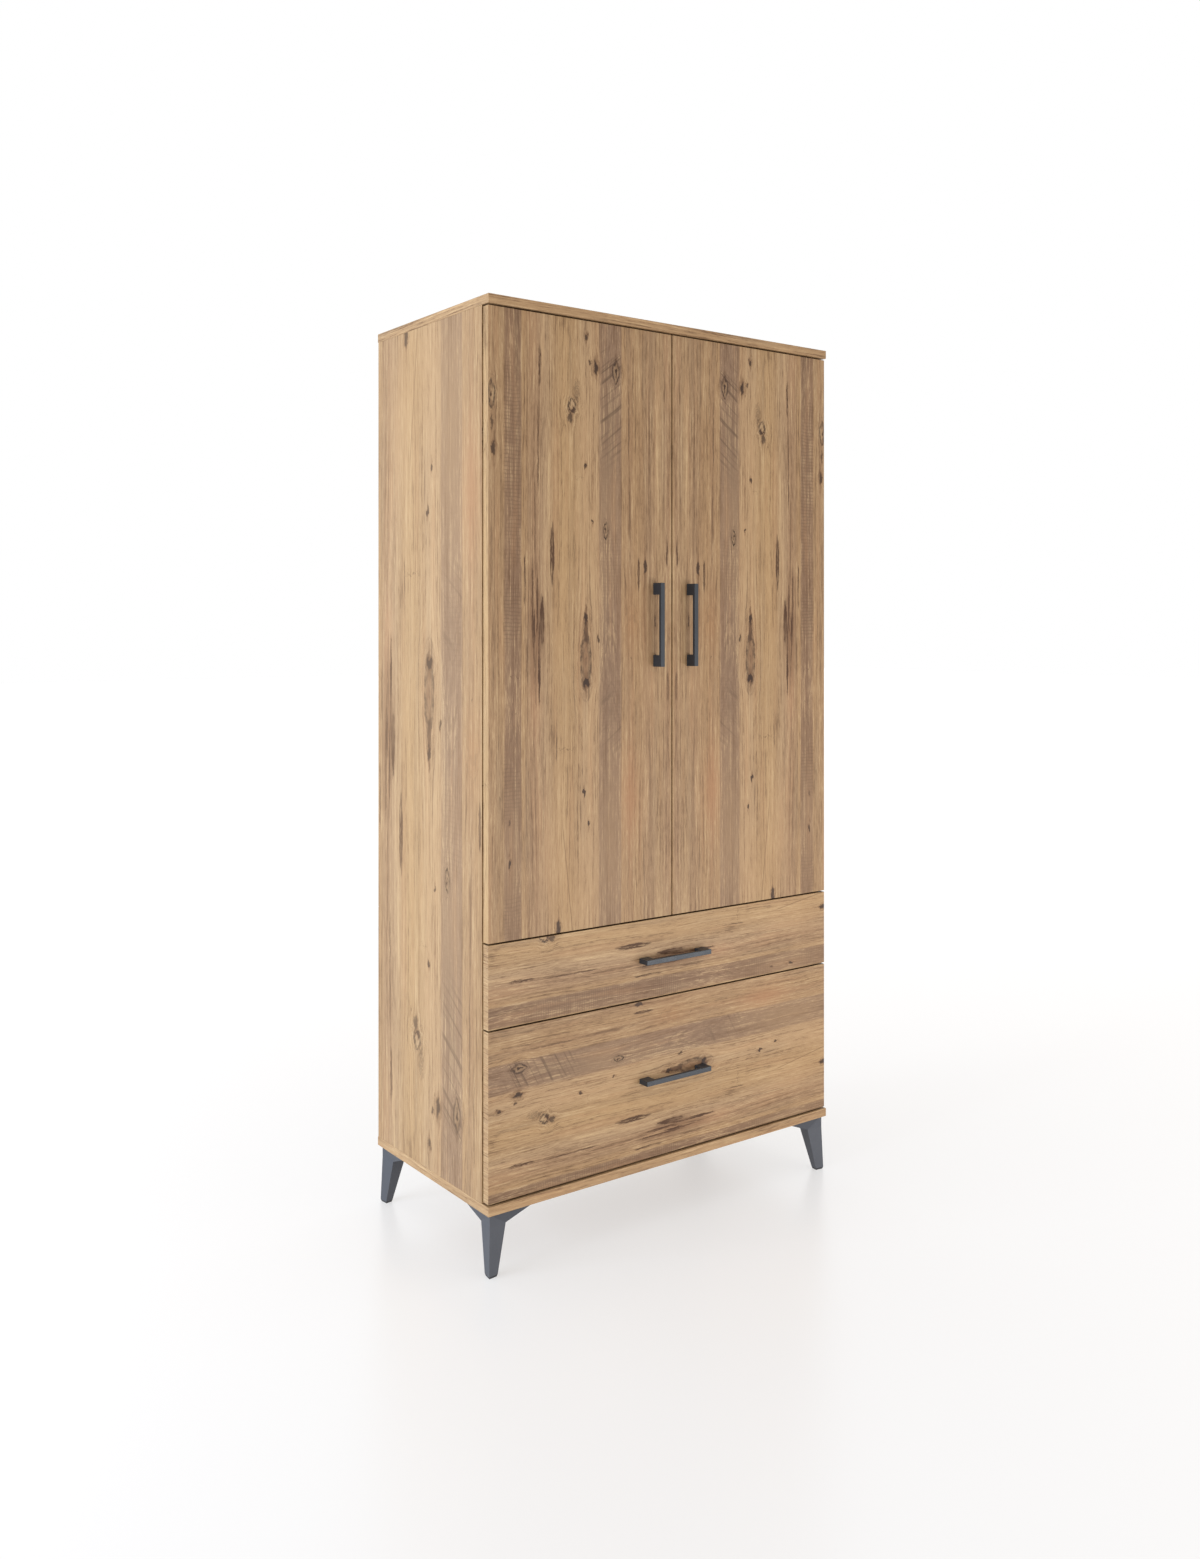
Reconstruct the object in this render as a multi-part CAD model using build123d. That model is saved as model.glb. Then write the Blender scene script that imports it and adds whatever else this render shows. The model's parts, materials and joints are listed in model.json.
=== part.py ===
from build123d import *
import os

# Two-door, two-drawer wardrobe on four corner legs. Millimetres, +Z up, front towards -Y.
# The origin is on the floor, under the middle of the whole object's box.

# ---- driving dimensions -------------------------------------------------------------
WIDTH = 900.0             # outside width of the top and bottom panels
DEPTH = 450.0             # depth of the top and bottom panels
HEIGHT = 1860.0           # floor to top
LEG_H = 120.0             # height of the legs with their glides
BOARD = 18.0              # thickness of the carcass boards, doors and drawer fronts
BOX_BOARD = 12.0          # thickness of the drawer box boards
SHEET = 3.0               # thickness of the back and drawer bottom sheets
EDGE_R = 0.8              # rounding of every board's edge band
CAP_LIP = 4.0             # how far the caps stand in front of doors and drawer fronts
REVEAL = 2.0              # fronts stand this far inside the carcass width, and off its front edge
GAP = 3.0                 # gap between fronts
LOWER_FRONT_H = 325.0     # height of the lower drawer front
UPPER_FRONT_H = 161.0     # height of the upper drawer front
HANDLE_PROUD = 26.0       # handle face in front of its door or drawer front
HANDLE_L = 172.0          # overall length of a handle
HANDLE_W = 10.0           # width of a handle bar
HANDLE_T = 7.0            # thickness of a handle bar
POST_L = 24.0             # length of a handle's foot
HANDLE_HOLES = 148.0      # distance between a handle's two screws
DOOR_HANDLE_X = 45.0      # centre line of a door handle from the middle
RUNNER_W = 12.7           # space a drawer runner takes at each side
RUNNER_L = 380.0          # length of each runner member
RUNNER_H = 45.0           # height of the outer runner member
HINGE_PIVOT_ARM = (45.0, 30.0)    # arm pivot: in from the carcass side, behind the door's front face
HINGE_PIVOT_CUP = (12.5, 14.5)    # cup pivot, measured the same way
PIN_R = 2.0               # radius of the hinge pins
RUN_CLEAR = 0.05          # radial running clearance of a hinge pin

# ---- places that follow from them ---------------------------------------------------
Y_CAP = -DEPTH / 2 + (HANDLE_PROUD - CAP_LIP) / 2     # front edge of the caps
Y_BACK = Y_CAP + DEPTH                                # back edge of the caps
Y_FACE = Y_CAP + CAP_LIP                              # front face of doors and drawer fronts
Y_DOOR_BACK = Y_FACE + BOARD
Y_SIDE = Y_DOOR_BACK + REVEAL                         # front edge of the side panels
NAIL_HEAD = 1.0
Y_SHEET = Y_BACK - NAIL_HEAD - SHEET                  # back edge of the sides, front of the back sheets
X_OUT = WIDTH / 2
X_IN = X_OUT - BOARD                                  # inner face of a side panel
X_FRONT = X_OUT - REVEAL                              # outer edge of doors and drawer fronts
Z_BOTTOM = LEG_H
Z_FLOOR_TOP = Z_BOTTOM + BOARD
Z_CEILING = HEIGHT - BOARD
Z_LOWER = Z_FLOOR_TOP + GAP                           # foot of the lower drawer front
Z_UPPER = Z_LOWER + LOWER_FRONT_H + GAP
Z_DOOR = Z_UPPER + UPPER_FRONT_H + GAP
Z_DOOR_TOP = Z_CEILING - GAP
Z_SHELF = Z_DOOR - GAP / 2 - BOARD / 2                # underside of the fixed shelf
Z_HAT = 1520.0                                        # underside of the hat shelf
HAT_SET_BACK = 22.0
Z_RAIL = Z_HAT - 52.0                                 # centre of the hanging rail
Y_RAIL = (Y_SIDE + Y_SHEET) / 2
HINGE_Z = [Z_DOOR + 100.0, (Z_DOOR + Z_DOOR_TOP) / 2, Z_DOOR_TOP - 100.0]
X_BOX = X_IN - RUNNER_W                               # outer face of a drawer box
BOX_DEPTH = 390.0
Y_BOX_BACK = Y_DOOR_BACK + BOX_DEPTH
DRAWERS = {
    "lower": {"front": (Z_LOWER, LOWER_FRONT_H), "box": (Z_LOWER + 12.0, 245.0), "runner": Z_LOWER + 95.0},
    "upper": {"front": (Z_UPPER, UPPER_FRONT_H), "box": (Z_UPPER + 12.0, 105.0), "runner": Z_UPPER + 64.0},
}

nodes = {}


def block(x0, x1, y0, y1, z0, z1):
    """A plain box between two corners."""
    box = Box(abs(x1 - x0), abs(y1 - y0), abs(z1 - z0))
    return Pos((x0 + x1) / 2, (y0 + y1) / 2, (z0 + z1) / 2) * box


def board(x0, x1, y0, y1, z0, z1, radius=EDGE_R):
    """A board with its edges slightly rounded, as edge banding leaves them."""
    box = block(x0, x1, y0, y1, z0, z1)
    return fillet(box.edges(), radius)


def rod_x(x0, x1, y, z, radius):
    return Pos((x0 + x1) / 2, y, z) * Rot(0, 90, 0) * Cylinder(radius, abs(x1 - x0))


def rod_y(x, y0, y1, z, radius):
    return Pos(x, (y0 + y1) / 2, z) * Rot(90, 0, 0) * Cylinder(radius, abs(y1 - y0))


def rod_z(x, y, z0, z1, radius):
    return Pos(x, y, (z0 + z1) / 2) * Cylinder(radius, abs(z1 - z0))


def mirror_x(shape):
    return mirror(shape, Plane.YZ)


def save(name, shape):
    solids = shape if isinstance(shape, list) else [shape]
    nodes[name] = Compound(children=[s for item in solids for s in item.solids()])


# ---- joints between carcass boards --------------------------------------------------
CAM_R = 7.5               # radius of a cam's seat
CAM_PLAY = 0.2            # the cam is this much smaller
CAM_SUNK = 0.3            # and lies this far below the surface
CAM_DEPTH = 12.5
SLOT_HALF = 4.5           # half length of a cam's cross slot
SLOT_HALF_W = 0.7
SLOT_DEEP = 2.0
CAM_IN = 24.0             # cam centre from the board's end
DOWEL_R = 4.0
DOWEL_HALF = 12.0         # half the length of a wooden dowel
CAM_Y = [Y_SIDE + 60.0, Y_SHEET - 60.0]
DOWEL_Y = [Y_SIDE + 30.0, Y_SHEET - 30.0]
X_MID = X_OUT - BOARD / 2             # middle of a side panel's thickness
Z_MID = Z_SHELF + BOARD / 2           # middle of the fixed shelf's thickness


def left_cams(radius, sunk):
    """Cam locks of the left side: four in the side panel, two in the fixed shelf's underside."""
    cams = []
    for y in CAM_Y:
        for z in (Z_FLOOR_TOP + CAM_IN, Z_CEILING - CAM_IN):
            cams.append(rod_x(-X_IN - CAM_DEPTH, -X_IN - sunk, y, z, radius))
        cams.append(rod_z(-X_IN + CAM_IN, y, Z_SHELF + sunk, Z_SHELF + CAM_DEPTH, radius))
    return cams


def cross_slots(cams_z):
    """Driver slots in the faces of the cams that face sideways."""
    slots = []
    x0 = -X_IN - SLOT_DEEP
    for y in CAM_Y:
        for z in cams_z:
            slots.append(block(x0, -X_IN, y - SLOT_HALF, y + SLOT_HALF, z - SLOT_HALF_W, z + SLOT_HALF_W))
            slots.append(block(x0, -X_IN, y - SLOT_HALF_W, y + SLOT_HALF_W, z - SLOT_HALF, z + SLOT_HALF))
    return slots


def left_dowels():
    """Wooden dowels of the left side: into both caps and into the fixed shelf's end."""
    dowels = []
    for y in DOWEL_Y:
        for z in (Z_FLOOR_TOP, Z_CEILING):
            dowels.append(rod_z(-X_MID, y, z - DOWEL_HALF, z + DOWEL_HALF, DOWEL_R))
        dowels.append(rod_x(-X_IN - DOWEL_HALF, -X_IN + DOWEL_HALF, y, Z_MID, DOWEL_R))
    return dowels


DOWELS = left_dowels() + [mirror_x(d) for d in left_dowels()]
LEFT_SEATS = left_cams(CAM_R, 0.0)
CAM_SEATS = LEFT_SEATS + [mirror_x(c) for c in LEFT_SEATS]

# ---- screws -------------------------------------------------------------------------
SCREW_R = 1.75
SCREW_HEAD_R = 3.6
SCREW_HEAD_H = 2.0
RECESS_L = 3.6            # cross recess of a screw head
RECESS_W = 0.9


def screw(x, y, z, direction, length):
    """A screw whose head sits on the surface at x, y, z; direction is where its shank points."""
    head = Cylinder(SCREW_HEAD_R, SCREW_HEAD_H, align=(Align.CENTER, Align.CENTER, Align.MIN))
    head = fillet(head.edges().sort_by(Axis.Z)[-1:], 0.9)
    shank = Cylinder(SCREW_R, length + 0.2, align=(Align.CENTER, Align.CENTER, Align.MAX))
    recess = Pos(0, 0, SCREW_HEAD_H) * (Box(RECESS_L, RECESS_W, 2.0) + Box(RECESS_W, RECESS_L, 2.0))
    piece = head + Pos(0, 0, 0.2) * shank - recess
    turn = {
        "+z": Rot(180, 0, 0), "-z": Rot(0, 0, 0),
        "+y": Rot(90, 0, 0), "-y": Rot(-90, 0, 0),
        "+x": Rot(0, -90, 0), "-x": Rot(0, 90, 0),
    }[direction]
    return Pos(x, y, z) * turn * piece


def shank_hole(x, y, z, direction, length):
    """The hole that a screw's shank fills, starting at the surface."""
    if direction[1] == "z":
        end = z + length * (1 if direction[0] == "+" else -1)
        return rod_z(x, y, z, end, SCREW_R)
    if direction[1] == "y":
        end = y + length * (1 if direction[0] == "+" else -1)
        return rod_y(x, y, end, z, SCREW_R)
    end = x + length * (1 if direction[0] == "+" else -1)
    return rod_x(x, end, y, z, SCREW_R)


def both_sides(places):
    """Mirror a list of x, y, z, direction, length to the other side of the wardrobe."""
    flip = {"+x": "-x", "-x": "+x"}
    return places + [(-x, y, z, flip.get(d, d), n) for x, y, z, d, n in places]


# ---- hinges: plate and arm on the carcass, link, pins, cup in the door --------------
ARM_PIVOT = (-X_OUT + HINGE_PIVOT_ARM[0], Y_FACE + HINGE_PIVOT_ARM[1])
CUP_PIVOT = (-X_OUT + HINGE_PIVOT_CUP[0], Y_FACE + HINGE_PIVOT_CUP[1])
CUP_R = 17.5
CUP_X = -X_FRONT + 5.0 + CUP_R        # the cup's edge is 5 mm in from the door's edge
CUP_DEPTH = 12.5
CUP_WALL = 1.2
FLANGE = 0.8
PLATE_Y = Y_SIDE + 37.0               # screw line of the mounting plates
PLATE_PITCH = 32.0                    # distance between a plate's two screws
LINK_HALF = 8.0                       # half width of a link, along Z
LINK_STRIP = 2.0                      # thickness of a link's strip
CHEEK = 1.6                           # thickness of the arm's cheeks
CHEEK_GAP = 0.4                       # between link and cheek
EYE_R = 3.4               # eye round the arm's pin
CUP_EYE_R = 2.9           # eye round the cup's pin
PLATE_T = 2.0             # thickness of a plate's wings
BOSS_T = 9.0              # height of a plate's boss
FLANGE_SCREW = 24.0       # cup screws above and below the cup's centre
FLANGE_SHIFT = 5.0        # and in from it
CUP_PIN_HALF = 10.0                   # half length of the pin in the cup


def hinge_plate(z):
    """Cruciform mounting plate on the left side panel."""
    wings = block(-X_IN, -X_IN + PLATE_T, PLATE_Y - 7.0, PLATE_Y + 7.0, z - 25.0, z + 25.0)
    wings = fillet(wings.edges().filter_by(Axis.X), 5.0)
    boss = block(-X_IN, -X_IN + BOSS_T, PLATE_Y - 9.0, PLATE_Y + 30.0, z - 7.5, z + 7.5)
    boss = fillet(boss.edges().filter_by(Axis.X), 2.5)
    plate = wings + boss
    for dz in (-PLATE_PITCH / 2, PLATE_PITCH / 2):
        plate = plate - rod_x(-X_IN, -X_IN + PLATE_T, PLATE_Y, z + dz, SCREW_R)
    return plate


def hinge_arm(z):
    """Channel-shaped arm on the plate, with two cheeks that hold the pin of the link."""
    px, py = ARM_PIVOT
    half = LINK_HALF + CHEEK_GAP + CHEEK
    x_seat = -X_IN + BOSS_T
    outline = Polyline(
        (x_seat, PLATE_Y + 34.0), (x_seat, PLATE_Y - 12.0), (px - 4.0, py - 4.2),
        (px + 3.2, py - 4.2), (px + 4.6, py + 1.0), (x_seat + 13.0, PLATE_Y + 2.0),
        (x_seat + 8.0, PLATE_Y + 34.0), close=True)
    solid = extrude(make_face(outline), 2 * half, dir=(0, 0, 1))
    solid = Pos(0, 0, z - half) * solid
    solid = fillet(solid.edges().filter_by(Axis.Z), 1.2)
    inner = LINK_HALF + CHEEK_GAP
    throat = block(px - 30.0, px + 30.0, py - 20.0, PLATE_Y - 9.0, z - inner, z + inner)
    bore = rod_z(px, py, z - half, z + half, PIN_R + RUN_CLEAR)
    return solid - throat - bore


def hinge_link(z):
    """Bent link: an eye at each pivot, joined by a strip that clears the cup's rim."""
    ax, ay = ARM_PIVOT
    cx, cy = CUP_PIVOT
    bend_1 = (cx + 16.0, cy - 0.8)
    bend_2 = (ax - 7.0, ay - 6.0)
    path = Polyline((cx, cy), bend_1, bend_2, (ax, ay))
    strip = make_face(offset(path, LINK_STRIP / 2, side=Side.BOTH))
    strip = Pos(0, 0, z - LINK_HALF) * extrude(strip, 2 * LINK_HALF, dir=(0, 0, 1))
    link = strip
    for x, y, radius in ((cx, cy, CUP_EYE_R), (ax, ay, EYE_R)):
        link = link + rod_z(x, y, z - LINK_HALF, z + LINK_HALF, radius)
    for x, y in (CUP_PIVOT, ARM_PIVOT):
        link = link - rod_z(x, y, z - LINK_HALF, z + LINK_HALF, PIN_R)
    return link


def hinge_pins(z):
    """The two pins of a link, pressed into its eyes."""
    half = LINK_HALF + CHEEK_GAP + CHEEK
    arm_pin = rod_z(*ARM_PIVOT, z - half, z + half, PIN_R)
    cup_pin = rod_z(*CUP_PIVOT, z - CUP_PIN_HALF, z + CUP_PIN_HALF, PIN_R)
    return [arm_pin, cup_pin]


def hinge_cup(z):
    """Pressed cup with a flange on the door's back face, notched where the link swings out."""
    outer = rod_y(CUP_X, Y_DOOR_BACK - CUP_DEPTH, Y_DOOR_BACK, z, CUP_R - 0.1)
    flange = block(CUP_X - 8.0, CUP_X + 10.0, Y_DOOR_BACK, Y_DOOR_BACK + FLANGE, z - 30.0, z + 30.0)
    flange = fillet(flange.edges().filter_by(Axis.Y), 5.0)
    collar = rod_y(CUP_X, Y_DOOR_BACK, Y_DOOR_BACK + FLANGE, z, CUP_R)
    hollow = rod_y(CUP_X, Y_DOOR_BACK - CUP_DEPTH + CUP_WALL, Y_DOOR_BACK + 2.0, z, CUP_R - 0.1 - CUP_WALL)
    notch = block(CUP_X - CUP_R - 1.0, CUP_X - 8.0, CUP_PIVOT[1] - 3.3, Y_DOOR_BACK + 2.0, z - 8.6, z + 8.6)
    bore = rod_z(*CUP_PIVOT, z - 20.0, z + 20.0, PIN_R + RUN_CLEAR)
    cup = outer + flange + collar - hollow - notch
    inner = LINK_HALF + CHEEK_GAP
    for s in (-1, 1):
        ear = block(CUP_PIVOT[0] - 3.2, CUP_PIVOT[0] + 3.2, Y_DOOR_BACK - CUP_DEPTH, Y_DOOR_BACK,
                    z + s * inner, z + s * CUP_R)
        cup = cup + (ear & outer)
    cup = cup - bore
    for dz in (-FLANGE_SCREW, FLANGE_SCREW):
        cup = cup - rod_y(CUP_X + FLANGE_SHIFT, Y_DOOR_BACK, Y_DOOR_BACK + FLANGE, z + dz, SCREW_R)
    return cup


def cup_seat(z):
    return rod_y(CUP_X, Y_DOOR_BACK - CUP_DEPTH, Y_DOOR_BACK, z, CUP_R)


# ---- screw places on the left half --------------------------------------------------
PLATE_SCREWS = [(-X_IN + PLATE_T, PLATE_Y, z + dz, "-x", 14.0)
                for z in HINGE_Z for dz in (-PLATE_PITCH / 2, PLATE_PITCH / 2)]
CUP_SCREWS = [(CUP_X + FLANGE_SHIFT, Y_DOOR_BACK + FLANGE, z + dz, "-y", 12.0)
              for z in HINGE_Z for dz in (-FLANGE_SCREW, FLANGE_SCREW)]
RUNNER_Y0 = Y_SIDE + 2.0
RUNNER_SCREW_Y = [RUNNER_Y0 + 35.0, RUNNER_Y0 + 163.0, RUNNER_Y0 + 323.0]
SOCKET_T = 3.0            # thickness of a rail socket's base
SOCKET_SCREWS = [(-X_IN + SOCKET_T, Y_RAIL + dy, Z_RAIL - 12.0, "-x", 12.0) for dy in (-16.0, 16.0)]
BRACKET_X = X_IN - 60.0               # middle of a wall bracket
BRACKET_DROP = 24.0                   # wall hole below the ceiling
BRACKET_T = 2.0
BRACKET_W = 24.0
BRACKET_DEEP = 34.0       # leg of the bracket under the ceiling
BRACKET_TALL = 38.0       # leg of the bracket down the back
WALL_HOLE_R = 2.75
BRACKET_SCREWS = [(-BRACKET_X, Y_SHEET - 22.0, Z_CEILING - BRACKET_T, "+z", 12.0)]
LEG_HOLES = [(60.0, 22.0), (22.0, 60.0), (52.0, 52.0)]     # along each edge from the carcass corner
LEG_PLATE = 3.0


# ---- handles ------------------------------------------------------------------------
HANDLE_EDGE_R = 0.7
HANDLE_BORE = 10.0        # depth of the screw holes in a handle's feet
BOLT_R = 2.0              # handle screws
BOLT_HEAD_R = 4.2
BOLT_HEAD_H = 2.4


def bow_handle(x, z, upright):
    """Square bow handle: a flat bar on two feet, with a blind screw hole in each foot."""
    half = HANDLE_L / 2
    y_out = Y_FACE - HANDLE_PROUD
    y_in = y_out + HANDLE_T
    bar = block(-half, half, y_out, y_in, -HANDLE_W / 2, HANDLE_W / 2)
    feet = [block(s * half, s * (half - POST_L), y_out, Y_FACE, -HANDLE_W / 2, HANDLE_W / 2) for s in (-1, 1)]
    shape = bar + feet[0] + feet[1]
    shape = fillet(shape.edges().filter_by(lambda e: e.center().Y < Y_FACE - 1.0), HANDLE_EDGE_R)
    for s in (-1, 1):
        shape = shape - rod_y(s * HANDLE_HOLES / 2, Y_FACE - HANDLE_BORE, Y_FACE, 0, BOLT_R)
    if upright:
        shape = Rot(0, 90, 0) * shape
    return Pos(x, 0, z) * shape


def handle_screw_places(x, z, upright):
    half = HANDLE_HOLES / 2
    return [(x, z - half), (x, z + half)] if upright else [(x - half, z), (x + half, z)]


def handle_screw(x, z):
    """Machine screw from behind the front into a handle's foot."""
    shank = rod_y(x, Y_FACE - HANDLE_BORE + 2.0, Y_DOOR_BACK, z, BOLT_R)
    head = rod_y(x, Y_DOOR_BACK, Y_DOOR_BACK + BOLT_HEAD_H, z, BOLT_HEAD_R)
    slot_y = Y_DOOR_BACK + BOLT_HEAD_H
    slot = block(x - 3.0, x + 3.0, slot_y - 1.0, slot_y + 1.0, z - 0.5, z + 0.5)
    return shank + head - slot


def handle_holes(places):
    return [rod_y(x, Y_FACE, Y_DOOR_BACK, z, BOLT_R) for x, z in places]


# ---- carcass ------------------------------------------------------------------------
def leg_screw_places(sx, sy):
    """Screw places of one leg; sx and sy are the signs of its corner."""
    y_edge = Y_CAP if sy < 0 else Y_BACK
    return [(sx * (X_OUT - a), y_edge - sy * b, Z_BOTTOM - LEG_PLATE, "+z", 14.0) for a, b in LEG_HOLES]


CORNERS = {"front_left": (-1, -1), "front_right": (1, -1), "back_left": (-1, 1), "back_right": (1, 1)}
LEG_SCREWS = [p for sx, sy in CORNERS.values() for p in leg_screw_places(sx, sy)]

bottom = board(-X_OUT, X_OUT, Y_CAP, Y_BACK, Z_BOTTOM, Z_FLOOR_TOP)
top = board(-X_OUT, X_OUT, Y_CAP, Y_BACK, Z_CEILING, HEIGHT)
for dowel in DOWELS:
    bottom = bottom - dowel
    top = top - dowel
for x, y, z, d, n in LEG_SCREWS:
    bottom = bottom - rod_z(x, y, Z_BOTTOM, z + n, SCREW_R)
for x, y, z, d, n in both_sides(BRACKET_SCREWS):
    top = top - rod_z(x, y, Z_CEILING, z + n, SCREW_R)
save("bottom_panel", bottom)
save("top_panel", top)

PIN_Y = [Y_SIDE + 60.0, Y_SHEET - 60.0]
PIN_LEN = 8.0             # how far a shelf pin goes into the side, and out of it
SHELF_PIN_R = 2.5
side = board(-X_OUT, -X_IN, Y_SIDE, Y_SHEET, Z_FLOOR_TOP, Z_CEILING)
for cutter in left_dowels() + LEFT_SEATS:
    side = side - cutter
for x, y, z, d, n in PLATE_SCREWS + SOCKET_SCREWS:
    side = side - shank_hole(x, y, z, d, n)
RUNNER_SCREWS = [(-X_IN + 1.2, y, DRAWERS[k]["runner"], "-x", 12.0) for k in DRAWERS for y in RUNNER_SCREW_Y]
for x, y, z, d, n in RUNNER_SCREWS:
    side = side - shank_hole(x, y, z, d, n)
for y in PIN_Y:
    side = side - rod_x(-X_IN - PIN_LEN, -X_IN, y, Z_HAT - SHELF_PIN_R, SHELF_PIN_R)
save("left_side_panel", side)
save("right_side_panel", mirror_x(side))

shelf = board(-X_IN, X_IN, Y_SIDE, Y_SHEET, Z_SHELF, Z_SHELF + BOARD)
for cutter in DOWELS + CAM_SEATS:
    shelf = shelf - cutter
save("fixed_shelf", shelf)
save("hat_shelf", board(-X_IN + 1.0, X_IN - 1.0, Y_SIDE + HAT_SET_BACK, Y_SHEET, Z_HAT, Z_HAT + BOARD))

SHEET_INSET = 1.0
SHEET_JOINT = 0.5         # half the joint between the two back sheets


def back_sheet(z0, z1):
    return block(-X_OUT + SHEET_INSET, X_OUT - SHEET_INSET, Y_SHEET, Y_SHEET + SHEET, z0, z1)


lower_sheet = back_sheet(Z_FLOOR_TOP, Z_MID - SHEET_JOINT)
upper_sheet = back_sheet(Z_MID + SHEET_JOINT, Z_CEILING)
for s in (-1, 1):
    hole = rod_y(s * BRACKET_X, Y_SHEET, Y_SHEET + SHEET, Z_CEILING - BRACKET_DROP, WALL_HOLE_R)
    upper_sheet = upper_sheet - hole

NAIL_R = 0.9
NAIL_HEAD_R = 3.0
NAIL_LEN = 20.0
NAIL_PITCH = 170.0        # wished distance between nails up the sides
SHELF_NAILS = 4           # pairs of nails into the fixed shelf
SHELF_NAIL_PITCH = 220.0
nail_places = []
for sheet_z0, sheet_z1 in ((Z_FLOOR_TOP, Z_MID), (Z_MID, Z_CEILING)):
    rows = max(2, round((sheet_z1 - sheet_z0) / NAIL_PITCH))
    for i in range(rows):
        z = sheet_z0 + (sheet_z1 - sheet_z0) * (i + 0.5) / rows
        nail_places += [(-X_MID, z), (X_MID, z)]
for i in range(SHELF_NAILS):
    for dz in (-4.5, 4.5):
        nail_places.append(((i - (SHELF_NAILS - 1) / 2) * SHELF_NAIL_PITCH, Z_MID + dz))


def nail(x, z):
    shank = rod_y(x, Y_SHEET - NAIL_LEN, Y_SHEET + SHEET, z, NAIL_R)
    return shank + rod_y(x, Y_SHEET + SHEET, Y_BACK, z, NAIL_HEAD_R)


nail_shanks = [rod_y(x, Y_SHEET - NAIL_LEN, Y_SHEET + SHEET, z, NAIL_R) for x, z in nail_places]
save("back_panel_nails", [nail(x, z) for x, z in nail_places])
for x_z, shank in zip(nail_places, nail_shanks):
    if x_z[1] < Z_MID:
        lower_sheet = lower_sheet - shank
    else:
        upper_sheet = upper_sheet - shank
save("back_panel_lower", lower_sheet)
save("back_panel_upper", upper_sheet)
for name, test in (("left_side_panel", lambda x: x < -X_IN), ("right_side_panel", lambda x: x > X_IN),
                   ("fixed_shelf", lambda x: abs(x) < X_IN)):
    panel = nodes[name]
    for x_z, shank in zip(nail_places, nail_shanks):
        if test(x_z[0]):
            panel = panel - shank
    save(name, panel)

cams = left_cams(CAM_R - CAM_PLAY, CAM_SUNK)
slots = cross_slots((Z_FLOOR_TOP + CAM_IN, Z_CEILING - CAM_IN))
cut_cams = []
for cam in cams:
    for slot in slots:
        cam = cam - slot
    cut_cams.append(cam)
save("cam_locks", cut_cams + [mirror_x(c) for c in cut_cams])
save("wooden_dowels", DOWELS)
pins = [rod_x(-X_IN - PIN_LEN, -X_IN + PIN_LEN, y, Z_HAT - SHELF_PIN_R, SHELF_PIN_R) for y in PIN_Y]
save("shelf_pins", pins + [mirror_x(p) for p in pins])

# Hanging rail: an oval tube held in two open sockets.
RAIL_W = 15.0
RAIL_H = 30.0
RAIL_WALL = 1.2
RAIL_PLAY = 0.2           # room for the rail in its sockets, all round
SOCKET_WALL = 2.0
SOCKET_DEEP = 12.0        # how far a socket reaches round the rail


def oval(width, height, length):
    """A flat-sided oval bar along X, centred on the origin."""
    bar = Box(length, width, height - width)
    for z in (-(height - width) / 2, (height - width) / 2):
        bar = bar + rod_x(-length / 2, length / 2, 0, z, width / 2)
    return bar


rail_len = 2 * (X_IN - SOCKET_T - RAIL_PLAY)
rail = oval(RAIL_W, RAIL_H, rail_len) - oval(RAIL_W - 2 * RAIL_WALL, RAIL_H - 2 * RAIL_WALL, rail_len)
save("hanging_rail", Pos(0, Y_RAIL, Z_RAIL) * rail)

socket = block(-X_IN, -X_IN + SOCKET_T, Y_RAIL - 22.0, Y_RAIL + 22.0, Z_RAIL - 19.0, Z_RAIL + 21.0)
socket = fillet(socket.edges().filter_by(Axis.X), 6.0)
room_w, room_h = RAIL_W + 2 * RAIL_PLAY, RAIL_H + 2 * RAIL_PLAY
wall = oval(room_w + 2 * SOCKET_WALL, room_h + 2 * SOCKET_WALL, SOCKET_DEEP)
wall = wall - oval(room_w, room_h, SOCKET_DEEP)
wall = Pos(-X_IN + SOCKET_T + SOCKET_DEEP / 2, Y_RAIL, Z_RAIL) * wall
wall = wall - block(-X_IN + SOCKET_T, -X_IN + SOCKET_T + SOCKET_DEEP + 1.0, Y_RAIL - room_w / 2,
                    Y_RAIL + room_w / 2, Z_RAIL, Z_RAIL + RAIL_H)
socket = socket + wall
for x, y, z, d, n in SOCKET_SCREWS:
    socket = socket - rod_x(-X_IN, -X_IN + SOCKET_T, y, z, SCREW_R)
save("rail_sockets", [socket, mirror_x(socket)])

# Wall brackets against tipping: an angle under the ceiling, with its hole in the upright leg.
bracket_x0, bracket_x1 = -BRACKET_X - BRACKET_W / 2, -BRACKET_X + BRACKET_W / 2
bracket = block(bracket_x0, bracket_x1, Y_SHEET - BRACKET_DEEP, Y_SHEET, Z_CEILING - BRACKET_T, Z_CEILING)
bracket = bracket + block(bracket_x0, bracket_x1, Y_SHEET - BRACKET_T, Y_SHEET,
                          Z_CEILING - BRACKET_TALL, Z_CEILING)
bracket = bracket - rod_y(-BRACKET_X, Y_SHEET - BRACKET_T, Y_SHEET, Z_CEILING - BRACKET_DROP, WALL_HOLE_R)
for x, y, z, d, n in BRACKET_SCREWS:
    bracket = bracket - rod_z(x, y, Z_CEILING - BRACKET_T, Z_CEILING, SCREW_R)
save("wall_brackets", [bracket, mirror_x(bracket)])

# Soft bumpers where the doors close on the side panels.
bumpers = []
for z in (Z_DOOR + 30.0, Z_DOOR_TOP - 30.0):
    for s in (-1, 1):
        bumpers.append(rod_y(s * X_MID, Y_SIDE - REVEAL + 0.2, Y_SIDE, z, 4.0))
save("door_bumpers", bumpers)

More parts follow.
